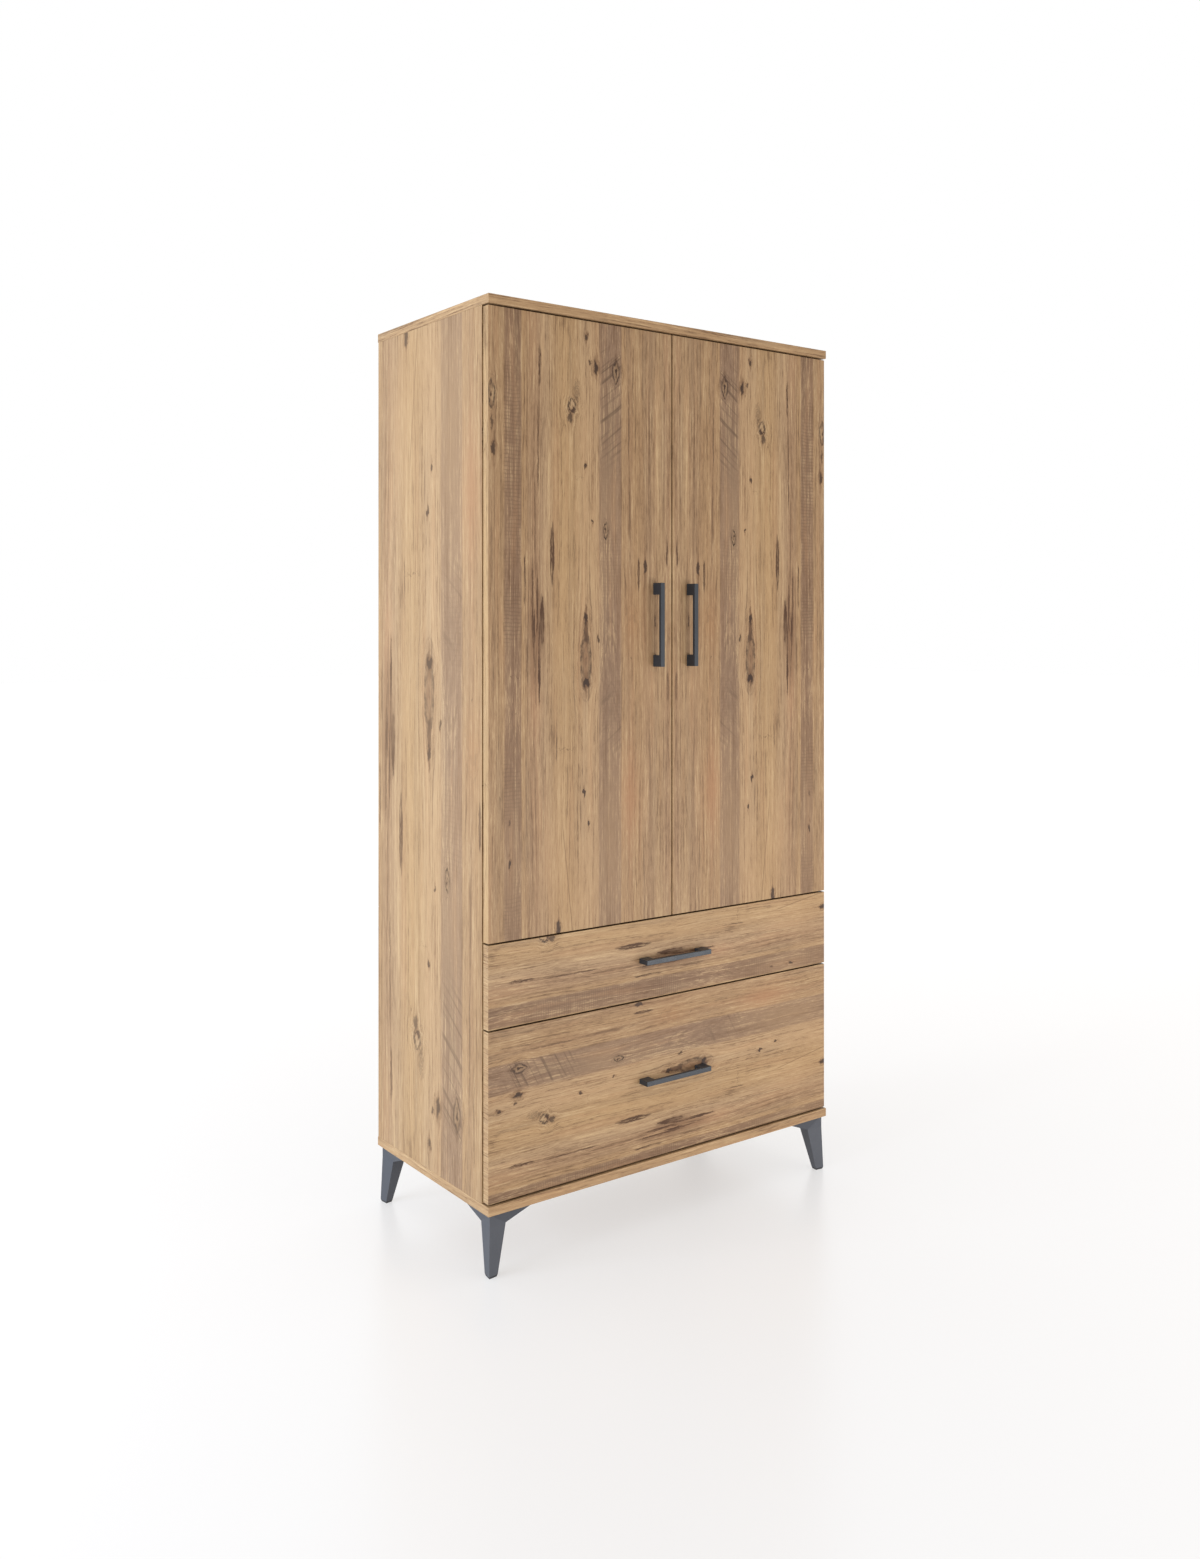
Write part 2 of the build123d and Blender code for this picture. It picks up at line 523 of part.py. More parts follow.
# ---- legs ---------------------------------------------------------------------------
LEG_TOP_INSET = 7.5       # outer corner of the leg, in from the carcass corner at the top
LEG_FOOT_INSET = 4.5      # and at the floor: the leg splays outwards slightly
LEG_NECK_Z = 25.0         # depth of the gussets below the carcass
LEG_NECK_W = 39.0         # width of each leg face under the gussets
LEG_FOOT_W = 20.7
LEG_TOP_W = 44.0
FACE_LEAN = 0.128         # the two outer faces lean together by this much of their width
INNER_CORNER = 0.9        # the inner corner, as a share of the width
GUSSET_REACH = 110.0      # how far the gussets reach along each edge
GUSSET_T = 9.0
GLIDE_H = 4.0
GLIDE_SHRINK = 3.0        # the glide is this much narrower than the foot at the floor
SCREW_PASSAGE = 40.0      # clear depth under each screw hole of a leg


def leg_section(inset, width, z):
    """Four-sided section seen from above: outer corner, face end, inner corner, face end."""
    lean, inner = FACE_LEAN * width, INNER_CORNER * width
    corners = [(0, 0), (width, lean), (inner, inner), (lean, width)]
    return make_face(Polyline(*[(inset + x, inset + y, z) for x, y in corners], close=True))


def corner_leg():
    """A leg in corner coordinates: x and y run inwards from the carcass corner, z from the floor."""
    a = LEG_TOP_INSET
    z_neck = LEG_H - LEG_NECK_Z
    foot = leg_section(LEG_FOOT_INSET, LEG_FOOT_W, GLIDE_H)
    neck = leg_section(a, LEG_NECK_W, z_neck)
    leg = loft([foot, neck]) + loft([neck, leg_section(a, LEG_TOP_W, LEG_H)])
    neck_end = (a + LEG_NECK_W, a + FACE_LEAN * LEG_NECK_W, z_neck)
    gusset = make_face(Polyline((a, a, LEG_H), (GUSSET_REACH, a, LEG_H), neck_end, close=True))
    gusset = extrude(gusset, GUSSET_T, dir=(0, 1, 0))
    plate = make_face(Polyline((a, a, LEG_H), (GUSSET_REACH, a, LEG_H), (a, GUSSET_REACH, LEG_H), close=True))
    plate = extrude(plate, LEG_PLATE, dir=(0, 0, -1))
    leg = leg + gusset + mirror(gusset, Plane((0, 0, 0), z_dir=(1, -1, 0))) + plate
    for hx, hy in LEG_HOLES:
        leg = leg - rod_z(hx, hy, LEG_H - LEG_PLATE - SCREW_PASSAGE, LEG_H, SCREW_R)
    return leg


def corner_glide():
    """Thin dark glide under a leg, a little smaller than the foot."""
    margin = GLIDE_SHRINK / 2
    lower = leg_section(LEG_FOOT_INSET + margin, LEG_FOOT_W - GLIDE_SHRINK, 0)
    upper = leg_section(LEG_FOOT_INSET + 0.2 * margin, LEG_FOOT_W - 0.2 * GLIDE_SHRINK, GLIDE_H)
    return loft([lower, upper])


def place_corner(shape, sx, sy):
    """Put a corner shape at one of the four corners; signs as in CORNERS."""
    if sx > 0:
        shape = mirror(shape, Plane.YZ)
    if sy > 0:
        shape = mirror(shape, Plane.XZ)
    return Pos(sx * X_OUT, Y_CAP if sy < 0 else Y_BACK, 0) * shape


leg = corner_leg()
for corner, (sx, sy) in CORNERS.items():
    save("leg_" + corner, place_corner(leg, sx, sy))
save("leg_glides", [place_corner(corner_glide(), sx, sy) for sx, sy in CORNERS.values()])
save("leg_screws", [screw(x, y, z, d, n) for x, y, z, d, n in LEG_SCREWS])

# ---- hinges and doors ---------------------------------------------------------------
save("hinge_plates", [hinge_plate(z) for z in HINGE_Z] + [mirror_x(hinge_plate(z)) for z in HINGE_Z])
save("hinge_arms", [hinge_arm(z) for z in HINGE_Z] + [mirror_x(hinge_arm(z)) for z in HINGE_Z])
fixed_screws = PLATE_SCREWS + SOCKET_SCREWS + BRACKET_SCREWS
save("carcass_screws", [screw(*p) for p in both_sides(fixed_screws)])

HANDLE_Z = (Z_DOOR + Z_DOOR_TOP) / 2
door = board(-X_FRONT, -GAP / 2, Y_FACE, Y_DOOR_BACK, Z_DOOR, Z_DOOR_TOP)
door_places = handle_screw_places(-DOOR_HANDLE_X, HANDLE_Z, True)
for cutter in [cup_seat(z) for z in HINGE_Z] + handle_holes(door_places):
    door = door - cutter
for x, y, z, d, n in CUP_SCREWS:
    door = door - rod_y(x, y - n, Y_DOOR_BACK, z, SCREW_R)
door_handle = bow_handle(-DOOR_HANDLE_X, HANDLE_Z, True)
cups = [hinge_cup(z) for z in HINGE_Z]
links = [hinge_link(z) for z in HINGE_Z]
link_pins = [pin for z in HINGE_Z for pin in hinge_pins(z)]
door_screws = [screw(*p) for p in CUP_SCREWS] + [handle_screw(x, z) for x, z in door_places]
for side_name, turn in (("left", lambda s: s), ("right", mirror_x)):
    save(side_name + "_door", turn(door))
    save(side_name + "_door_handle", turn(door_handle))
    save(side_name + "_hinge_cups", [turn(c) for c in cups])
    save(side_name + "_hinge_links", [turn(k) for k in links])
    save(side_name + "_hinge_pins", [turn(p) for p in link_pins])
    save(side_name + "_door_screws", [turn(s) for s in door_screws])

# ---- runners and drawers ------------------------------------------------------------
GAUGE = 1.2               # sheet thickness of the runner members
PLAY = 0.4                # clearance between nested members
RUNNER_SCREW_UP = 10.0    # the box side's screws, above the runner's middle


def channel(u0, u1, half, web_inside, z):
    """A C-shaped member along Y on the left, u counted inwards from the side panel."""
    x0, x1 = -X_IN + u0, -X_IN + u1
    y0, y1 = RUNNER_Y0, RUNNER_Y0 + RUNNER_L
    body = block(x0, x1, y0, y1, z - half, z + half)
    body = fillet(body.edges().filter_by(Axis.Y), 0.5)
    if web_inside:
        hollow = block(x0 - 1.0, x1 - GAUGE, y0, y1, z - half + GAUGE, z + half - GAUGE)
    else:
        hollow = block(x0 + GAUGE, x1 + 1.0, y0, y1, z - half + GAUGE, z + half - GAUGE)
    return body - hollow


HALF_OUTER = RUNNER_H / 2
HALF_MIDDLE = HALF_OUTER - GAUGE - PLAY
HALF_INNER = HALF_MIDDLE - GAUGE - PLAY
outer_members = []
for name, spec in DRAWERS.items():
    z = spec["runner"]
    outer = channel(0.0, 10.5, HALF_OUTER, False, z)
    middle = channel(GAUGE + PLAY, 11.0, HALF_MIDDLE, False, z)
    inner = channel(2 * GAUGE + 2 * PLAY, RUNNER_W, HALF_INNER, True, z)
    for y in RUNNER_SCREW_Y:
        outer = outer - rod_x(-X_IN, -X_IN + GAUGE, y, z, SCREW_R)
        middle = middle - rod_x(-X_IN, -X_IN + 5.0, y, z, SCREW_HEAD_R + 0.6)
        inner = inner - rod_x(-X_BOX - GAUGE, -X_BOX, y, z + RUNNER_SCREW_UP, SCREW_R)
    outer_members += [outer, mirror_x(outer)]
    save(name + "_runner_middle", [middle, mirror_x(middle)])
    save(name + "_runner_inner", [inner, mirror_x(inner)])
save("runner_outer_members", outer_members)

GROOVE_Z = 10.0           # groove above the foot of the drawer box
GROOVE_DEEP = 5.0
BOX_SCREW_L = 32.0        # screws through a box side into its back
RUNNER_SCREW_L = 10.0     # screws through an inner runner member into the box side


def drawer(name, front_z, front_h, box_z, box_h, runner_z):
    """One drawer: front, two sides, back, bottom sheet, handle and screws."""
    z_mid = front_z + front_h / 2
    floor = box_z + GROOVE_Z
    sheet = block(-X_BOX + BOX_BOARD - GROOVE_DEEP, X_BOX - BOX_BOARD + GROOVE_DEEP,
                  Y_DOOR_BACK - GROOVE_DEEP, Y_BOX_BACK, floor, floor + SHEET)
    front = board(-X_FRONT, X_FRONT, Y_FACE, Y_DOOR_BACK, front_z, front_z + front_h) - sheet
    places = handle_screw_places(0, z_mid, False)
    for cutter in handle_holes(places):
        front = front - cutter
    side = block(-X_BOX, -X_BOX + BOX_BOARD, Y_DOOR_BACK, Y_BOX_BACK, box_z, box_z + box_h)
    side = fillet(side.edges().filter_by(Axis.Y), 1.0) - sheet
    y_back = Y_BOX_BACK - BOX_BOARD
    back = block(-X_BOX + BOX_BOARD, X_BOX - BOX_BOARD, y_back, Y_BOX_BACK, floor + SHEET, box_z + box_h)
    screws = [handle_screw(x, z) for x, z in places]
    back_mid = y_back + BOX_BOARD / 2
    for z in (box_z + 0.3 * box_h, box_z + 0.75 * box_h):
        hole = rod_x(-X_BOX, -X_BOX + SCREW_HEAD_H + BOX_SCREW_L, back_mid, z, SCREW_R)
        back = back - hole - mirror_x(hole)
        side = side - hole
        sink = rod_x(-X_BOX, -X_BOX + SCREW_HEAD_H, back_mid, z, SCREW_HEAD_R)
        side = side - sink
        fixing = Pos(SCREW_HEAD_H, 0, 0) * screw(-X_BOX, back_mid, z, "+x", BOX_SCREW_L)
        screws += [fixing, mirror_x(fixing)]
    for y in RUNNER_SCREW_Y:
        side = side - rod_x(-X_BOX, -X_BOX - GAUGE + RUNNER_SCREW_L, y, runner_z + RUNNER_SCREW_UP, SCREW_R)
        fixing = screw(-X_BOX - GAUGE, y, runner_z + RUNNER_SCREW_UP, "+x", RUNNER_SCREW_L)
        screws += [fixing, mirror_x(fixing)]
    save(name + "_drawer_front", front)
    save(name + "_drawer_left_side", side)
    save(name + "_drawer_right_side", mirror_x(side))
    save(name + "_drawer_back", back)
    save(name + "_drawer_bottom", sheet)
    save(name + "_drawer_handle", bow_handle(0, z_mid, False))
    save(name + "_drawer_screws", screws)


for name, spec in DRAWERS.items():
    drawer(name, *spec["front"], *spec["box"], spec["runner"])

os.makedirs("parts", exist_ok=True)
for name, shape in nodes.items():
    export_step(shape, os.path.join("parts", name + ".step"))
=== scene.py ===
import math

import bpy
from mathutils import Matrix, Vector
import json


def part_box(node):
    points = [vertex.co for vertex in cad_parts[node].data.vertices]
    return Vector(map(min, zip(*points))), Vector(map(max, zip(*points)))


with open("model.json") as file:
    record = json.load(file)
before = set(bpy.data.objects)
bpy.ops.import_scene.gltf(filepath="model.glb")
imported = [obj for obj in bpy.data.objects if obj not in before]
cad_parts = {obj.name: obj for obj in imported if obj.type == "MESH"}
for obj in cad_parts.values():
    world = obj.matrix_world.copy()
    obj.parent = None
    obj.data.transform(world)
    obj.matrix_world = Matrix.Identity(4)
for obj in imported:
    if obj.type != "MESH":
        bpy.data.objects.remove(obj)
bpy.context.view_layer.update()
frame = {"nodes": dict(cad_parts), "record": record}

scene = bpy.context.scene
nodes = frame["nodes"]
MM = 0.001

# ---- places read from the frame --------------------------------------------------------
cap_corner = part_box("top_panel")[0]
LEFT_EDGE_MM = cap_corner.x / MM      # print u = 0 on the left door lies at the carcass's left edge
CAP_FRONT_MM = cap_corner.y / MM

# ---- camera ----------------------------------------------------------------------------
# A level camera to the left of the wardrobe, at chest height, with the lens shifted down.
CAMERA_PLACE = (-1.7968, -2.3914, 1.226)
CAMERA_HEADING = math.atan2(0.59396, 0.80447)
FOCAL = 31.33
SHIFT_DOWN = -0.0961

camera_data = bpy.data.cameras.new("camera")
camera_data.lens = FOCAL
camera_data.sensor_width = 36.0
camera_data.shift_y = SHIFT_DOWN
camera_data.clip_end = 200.0
camera = bpy.data.objects.new("camera", camera_data)
camera.location = CAMERA_PLACE
camera.rotation_euler = (math.pi / 2, 0.0, -CAMERA_HEADING)
scene.collection.objects.link(camera)
scene.camera = camera
scene.view_settings.view_transform = "Standard"


# ---- a small writer for node trees -----------------------------------------------------
class Nodes:
    """Adds nodes to a tree; numbers and sockets can be mixed freely as inputs."""

    def __init__(self, tree):
        self.tree = tree

    def put(self, socket, value):
        if isinstance(value, bpy.types.NodeSocket):
            self.tree.links.new(value, socket)
        else:
            socket.default_value = value

    def math(self, operation, *values, clamp=False):
        node = self.tree.nodes.new("ShaderNodeMath")
        node.operation = operation
        node.use_clamp = clamp
        for socket, value in zip(node.inputs, values):
            self.put(socket, value)
        return node.outputs[0]

    def add(self, a, b):
        return self.math("ADD", a, b)

    def sub(self, a, b):
        return self.math("SUBTRACT", a, b)

    def mul(self, a, b):
        return self.math("MULTIPLY", a, b)

    def exp_fall(self, value):
        """e to the minus value."""
        return self.math("EXPONENT", self.mul(value, -1.0))

    def total(self, values):
        result = values[0]
        for value in values[1:]:
            result = self.add(result, value)
        return result

    def largest(self, values):
        result = values[0]
        for value in values[1:]:
            result = self.math("MAXIMUM", result, value)
        return result

    def smooth(self, value, low, high, out_low=0.0, out_high=1.0):
        """Smooth step from out_low at low to out_high at high."""
        node = self.tree.nodes.new("ShaderNodeMapRange")
        node.interpolation_type = "SMOOTHSTEP"
        self.put(node.inputs["Value"], value)
        self.put(node.inputs["From Min"], low)
        self.put(node.inputs["From Max"], high)
        self.put(node.inputs["To Min"], out_low)
        self.put(node.inputs["To Max"], out_high)
        return node.outputs["Result"]

    def vector(self, x, y, z=0.0):
        node = self.tree.nodes.new("ShaderNodeCombineXYZ")
        for socket, value in zip(node.inputs, (x, y, z)):
            self.put(socket, value)
        return node.outputs[0]

    def split(self, vector):
        node = self.tree.nodes.new("ShaderNodeSeparateXYZ")
        self.put(node.inputs[0], vector)
        return node.outputs[0], node.outputs[1], node.outputs[2]

    def dot(self, vector, direction):
        node = self.tree.nodes.new("ShaderNodeVectorMath")
        node.operation = "DOT_PRODUCT"
        self.put(node.inputs[0], vector)
        self.put(node.inputs[1], direction)
        return node.outputs["Value"]

    def noise(self, vector, detail=2.0, rough=0.5, distortion=0.0, scale=1.0):
        node = self.tree.nodes.new("ShaderNodeTexNoise")
        self.put(node.inputs["Vector"], vector)
        self.put(node.inputs["Scale"], scale)
        self.put(node.inputs["Detail"], detail)
        self.put(node.inputs["Roughness"], rough)
        self.put(node.inputs["Distortion"], distortion)
        return node.outputs["Fac"]

    def signed(self, value):
        """A 0..1 noise as -1..1."""
        return self.math("MULTIPLY_ADD", value, 2.0, -1.0)

    def mix(self, factor, a, b, blend="MIX"):
        node = self.tree.nodes.new("ShaderNodeMix")
        node.data_type = "RGBA"
        node.blend_type = blend
        self.put(node.inputs[0], factor)
        self.put(node.inputs[6], a)
        self.put(node.inputs[7], b)
        return node.outputs[2]

    def ramp(self, value, stops):
        """A straight-line ramp through (place, colour) stops."""
        node = self.tree.nodes.new("ShaderNodeValToRGB")
        self.put(node.inputs[0], value)
        ramp = node.color_ramp
        ramp.interpolation = "LINEAR"
        while len(ramp.elements) < len(stops):
            ramp.elements.new(1.0)
        for element, (place, colour) in zip(ramp.elements, stops):
            element.position = place
            element.color = colour
        return node.outputs[0]


def srgb(r, g, b):
    """A colour given in 0..255 display values, as a linear colour."""
    def linear(c):
        c /= 255.0
        return c / 12.92 if c <= 0.04045 else ((c + 0.055) / 1.055) ** 2.4
    return (linear(r), linear(g), linear(b), 1.0)


# ---- the pine print --------------------------------------------------------------------
# One printed board repeats on every face. Its coordinates are millimetres: u across the
# grain from 0 to 450, v along the grain from 633 to 1839, as it lies on the left door.
PRINT_U = 450.0

# Tone of the strips of timber: a place in u and the colour there, blended from place to place.
STRIPS = [
    (0, (172, 139, 107)), (16, (160, 128, 98)), (24, (168, 136, 104)), (37, (166, 134, 102)),
    (39, (146, 115, 91)), (58, (135, 105, 84)), (76, (139, 109, 87)), (78, (174, 141, 106)),
    (98, (158, 126, 98)), (112, (163, 131, 103)), (134, (176, 146, 116)), (152, (170, 138, 105)),
    (176, (182, 149, 112)), (200, (170, 138, 104)), (222, (182, 150, 117)), (260, (180, 148, 116)),
    (263, (148, 119, 97)), (284, (139, 111, 92)), (316, (148, 119, 98)), (319, (174, 141, 107)),
    (340, (160, 127, 97)), (354, (170, 137, 103)), (382, (164, 132, 102)), (392, (158, 127, 99)),
    (416, (172, 141, 109)), (438, (160, 128, 100)), (450, (174, 141, 108)),
]

# Dots and small dark knots: u, v, half width, half length, darkness.
DOTS = [
    (230, 1808, 4.5, 7, 0.85), (240, 1757, 3.5, 6, 0.75), (254, 1750, 6.5, 12, 0.95),
    (228, 1550, 2.9, 5, 0.9), (245, 1440, 2.0, 3.4, 0.8), (260, 1207, 2.6, 7, 0.75),
    (224, 902, 2.7, 4.4, 0.9), (236, 844, 3.2, 6, 0.9), (50, 780, 3.4, 9, 0.9),
    (50, 860, 3, 5, 0.55), (13, 1570, 5.5, 12, 0.8), (343, 1165, 2.2, 2.5, 0.6),
    (230, 1121, 8.5, 9, 1.0), (229, 1222, 5, 24, 0.6), (163, 641, 5.5, 16, 0.85),
    (379, 1354, 4.0, 14, 0.85), (191, 1642, 6, 9, 0.7), (405, 1245, 2.4, 11, 0.7),
    (10, 1620, 3.0, 14, 0.6), (229, 1250, 4.4, 13, 0.95), (196, 1656, 8, 3, 0.7),
    (304, 1742, 2.8, 8, 0.95), (278, 1426, 2.0, 5, 0.85), (8, 1672, 2.2, 8, 0.8),
]

# Ringed knots: u, v, half width, half length, darkness of the ring and of the heart, which is
# pale where the last number is negative.
RINGED = [
    (304, 1745, 9.0, 20, 1.0, -0.4), (278, 1424, 5.6, 16, 1.0, -0.3), (195, 1667, 9.5, 11, 1.0, -0.6),
    (9, 1672, 7.5, 24, 0.9, -0.3), (229, 1162, 12.0, 50, 0.8, 0.2), (207, 1696, 6, 15, 0.5, 0.3),
]

# Arched figure of flat-sawn timber: u, v of the crown, half width, length, strength.
ARCHES = [
    (290, 1262, 17, 150, 0.42), (292, 1130, 15, 100, 0.36), (59, 1085, 13, 150, 0.34),
    (345, 1290, 20, 110, 0.2),
]

# Long dark checks and resin streaks: u, v, half width, half length, darkness.
CHECKS = [
    (84, 1322, 2.0, 52, 0.75), (102, 1282, 2.4, 84, 0.7), (106, 1215, 2.6, 60, 0.8),
    (118, 1160, 3.0, 80, 0.75), (124, 1240, 4.6, 52, 1.0), (113, 1270, 2.6, 62, 0.8),
    (119, 1738, 2.8, 44, 0.75), (115, 1560, 1.7, 120, 0.55), (126, 1560, 1.2, 150, 0.3),
    (148, 1372, 5.4, 62, 0.75), (158, 1012, 2.0, 46, 0.5), (200, 1370, 1.6, 60, 0.3),
    (338, 1460, 3.4, 110, 0.34), (336, 1640, 1.8, 110, 0.45), (347, 1720, 1.5, 110, 0.4),
    (362, 1338, 3.2, 34, 0.75), (436, 1384, 2.6, 34, 0.6), (440, 1106, 3.8, 36, 0.5),
    (27, 890, 2.4, 22, 0.5), (396, 1690, 1.8, 140, 0.32), (66, 1790, 8.0, 110, 0.3),
    (376, 1600, 1.6, 190, 0.3), (230, 1248, 3.4, 30, 0.5), (128, 930, 1.8, 140, 0.28),
    (92, 850, 2.0, 110, 0.24), (108, 1400, 1.6, 160, 0.38), (30, 1480, 2.0, 170, 0.26),
    (148, 1170, 1.8, 90, 0.26), (444, 1690, 2.2, 120, 0.3), (8, 1380, 2.2, 120, 0.22),
    (60, 1136, 16, 1.6, 0.4), (182, 990, 24, 1.6, 0.4), (212, 1527, 14, 1.4, 0.3),
    (236, 1095, 2.0, 36, 0.4), (110, 1130, 3.0, 60, 0.45), (90, 1180, 2.4, 60, 0.42),
]

# Soft patches of other colour: u, v, half width, half length, strength, colour.
PATCHES = [
    (228, 1170, 14, 62, 0.75, (150, 112, 84)), (341, 890, 20, 90, 0.5, (176, 126, 92)),
    (108, 1085, 12, 70, 0.35, (180, 132, 100)), (288, 1570, 22, 60, 0.35, (132, 106, 86)),
    (292, 1650, 20, 40, 0.4, (128, 103, 84)), (60, 1560, 14, 120, 0.3, (128, 101, 80)),
    (300, 1190, 16, 60, 0.3, (140, 110, 90)), (290, 1100, 26, 110, 0.22, (146, 118, 98)),
    (345, 1240, 22, 60, 0.4, (166, 120, 82)), (112, 1215, 17, 90, 0.6, (130, 93, 66)),
    (124, 1240, 7, 34, 0.6, (98, 68, 48)), (58, 780, 22, 170, 0.45, (163, 132, 103)),
    (290, 800, 30, 190, 0.6, (163, 132, 102)), (292, 1480, 24, 70, 0.45, (163, 132, 104)),
    (290, 1330, 24, 50, 0.3, (160, 128, 100)), (170, 1250, 26, 160, 0.3, (190, 155, 116)),
    (200, 700, 60, 90, 0.3, (186, 150, 112)), (240, 1400, 22, 120, 0.3, (190, 158, 122)),
    (392, 1150, 24, 160, 0.3, (176, 138, 104)), (140, 760, 30, 120, 0.25, (176, 138, 102)),
    (190, 1480, 30, 120, 0.25, (188, 155, 116)), (170, 900, 26, 200, 0.22, (190, 158, 122)),
]

# Colours of the print, lightest first.
LIGHT_GRAIN = srgb(207, 177, 141)
PALE_HEART = srgb(184, 154, 122)
RED_HUE = srgb(190, 148, 112)
GREY_HUE = srgb(160, 136, 112)
CRACK_BROWN = srgb(120, 90, 62)
TAIL_BROWN = srgb(118, 84, 58)
COLLAR_BROWN = srgb(116, 82, 56)
DEEP_GRAIN = srgb(110, 80, 56)
ARCH_BROWN = srgb(104, 78, 60)
HAIR_BROWN = srgb(108, 77, 54)
SAWN_BROWN = srgb(100, 76, 58)
HALO_BROWN = srgb(100, 74, 56)
DARK_HEART = srgb(96, 72, 54)
FEATHER_BROWN = srgb(92, 70, 55)
CHECK_BROWN = srgb(84, 56, 37)
RING_BROWN = srgb(62, 43, 31)
CORE_BROWN = srgb(62, 42, 30)

# Noises drawn out along the grain: cells per print mm across it and along it, a seed, detail,
# roughness and distortion.
GRAINS = {
    "rag_u": (0.12, 0.055, 0.0, 4.0, 0.65),
    "rag_v": (0.15, 0.07, 7.0, 3.0),
    "wander": (0.012, 0.0022, 0.0, 2.0),
    "shift": (0.02, 0.006, 3.0, 3.0),
    "broad": (0.05, 0.0018, 1.0, 3.0, 0.6),
    "middle": (0.14, 0.0042, 5.0, 4.0, 0.65),
    "thread": (0.34, 0.0028, 7.0, 3.0, 0.7),
    "fleck": (0.26, 0.026, 15.0, 3.0, 0.6),
    "fine": (0.8, 0.05, 9.0, 3.0, 0.75),
    "blotch": (0.02, 0.007, 11.0, 3.0),
    "hue": (0.06, 0.003, 31.0, 2.0),
    "drift": (0.03, 0.022, 2.0, 3.0, 0.6),
    "patchy": (0.01, 0.007, 4.0, 2.0),
    "feather": (1.0, 0.005, 6.0, 3.0, 0.6, 0.35),
    "streak": (0.34, 0.012, 13.0, 4.0, 0.65),
    "hair": (0.2, 0.0045, 21.0, 5.0, 0.72),
    "broken": (0.13, 0.06, 17.0, 3.0, 0.6),
}

# How much each kind of growth line counts in the tone, and how far the tone goes either way.
LINE_SHARES = {"broad": 0.30, "middle": 0.48, "thread": 0.80, "fleck": 0.40, "fine": 0.55, "blotch": 0.26}
TONE_REACH = 0.48
LIGHTEST = 0.8
DARKEST = 0.9
HUE_EDGES = (0.05, 0.4)
HUE_SHARE = 0.24

# How much each kind of line counts in the emboss: checks and hairlines sink.
EMBOSS_SHARES = {"fine": 0.5, "middle": 0.35, "checks": -1.2, "hair": -0.6}

# How far, in print mm, a noise nudges a mark's outline, a strip's edge or a fibre.
RAGGED_U = 8.0
RAGGED_V = 16.0
CALM_U = 3.0
STRIP_WANDER = 2.0
FIBRE_WANDER = 9.0
BEND_REACH = 1.9          # fibres bend round a knot out to this many of its sizes
BEND_SHARE = 0.85
BIG_DOT = 4.4             # dots wider than this bend the fibres too

# The two sawn strips: where each fades in and out across the grain.
FIRST_SAWN = (32.0, 42.0, 70.0, 80.0)
SECOND_SAWN = (262.0, 272.0, 312.0, 322.0)
SECOND_SAWN_SHARE = 0.4
SAW_PITCH = 0.86          # saw marks, radians per print mm
SAW_DRIFT = 9.0
PATCHY_EDGES = (0.38, 0.62)
SAWN_SHARE = 0.34

# The feathered figure: its two stretches along the grain, and how strong each is.
FEATHERS = [((1530.0, 1620.0, 1770.0, 1800.0), 1.0), ((960.0, 1010.0, 1080.0, 1120.0), 0.6)]
FEATHER_SLANT = (0.06, -0.08)         # noise cells per print mm across and along the grain
FEATHER_SHARE = 0.72

ARCH_CURVE = 0.32         # how fast an arch falls away to its sides
ARCH_LINES = 24.0         # nested lines in an arch

# A ringed knot, in its own half sizes: its halo with faint rings, and the dark ring.
HALO_REACH = 2.2
HALO_SHARE = 0.5
RING_LINES = 13.0
RING_AT = 0.92
RING_SHARPNESS = 4.2

# A small knot's tail, in the knot's own sizes, and how strong its tail and collar are.
TAIL_WIDTH = 0.5
TAIL_LENGTH = 2.6
SOFT_SHARE = 0.5

# Where checks, rings and hairlines break up, and the share that stays unbroken.
STREAK_EDGES = (0.44, 0.52)
BROKEN_EDGES = (0.36, 0.6)
HAIR_EDGES = (0.57, 0.68)
HAIR_SHARE = 0.5
UNBROKEN = 0.35

# The long crack at the foot: where it starts, its lean, half width, and where it fades.
CRACK_AT = (196.0, 640.0)
CRACK_LEAN = -0.115
CRACK_HALF = 1.7
CRACK_END = (820.0, 860.0)
CRACK_RAGGED = 0.8
CRACK_SHARE = 0.55


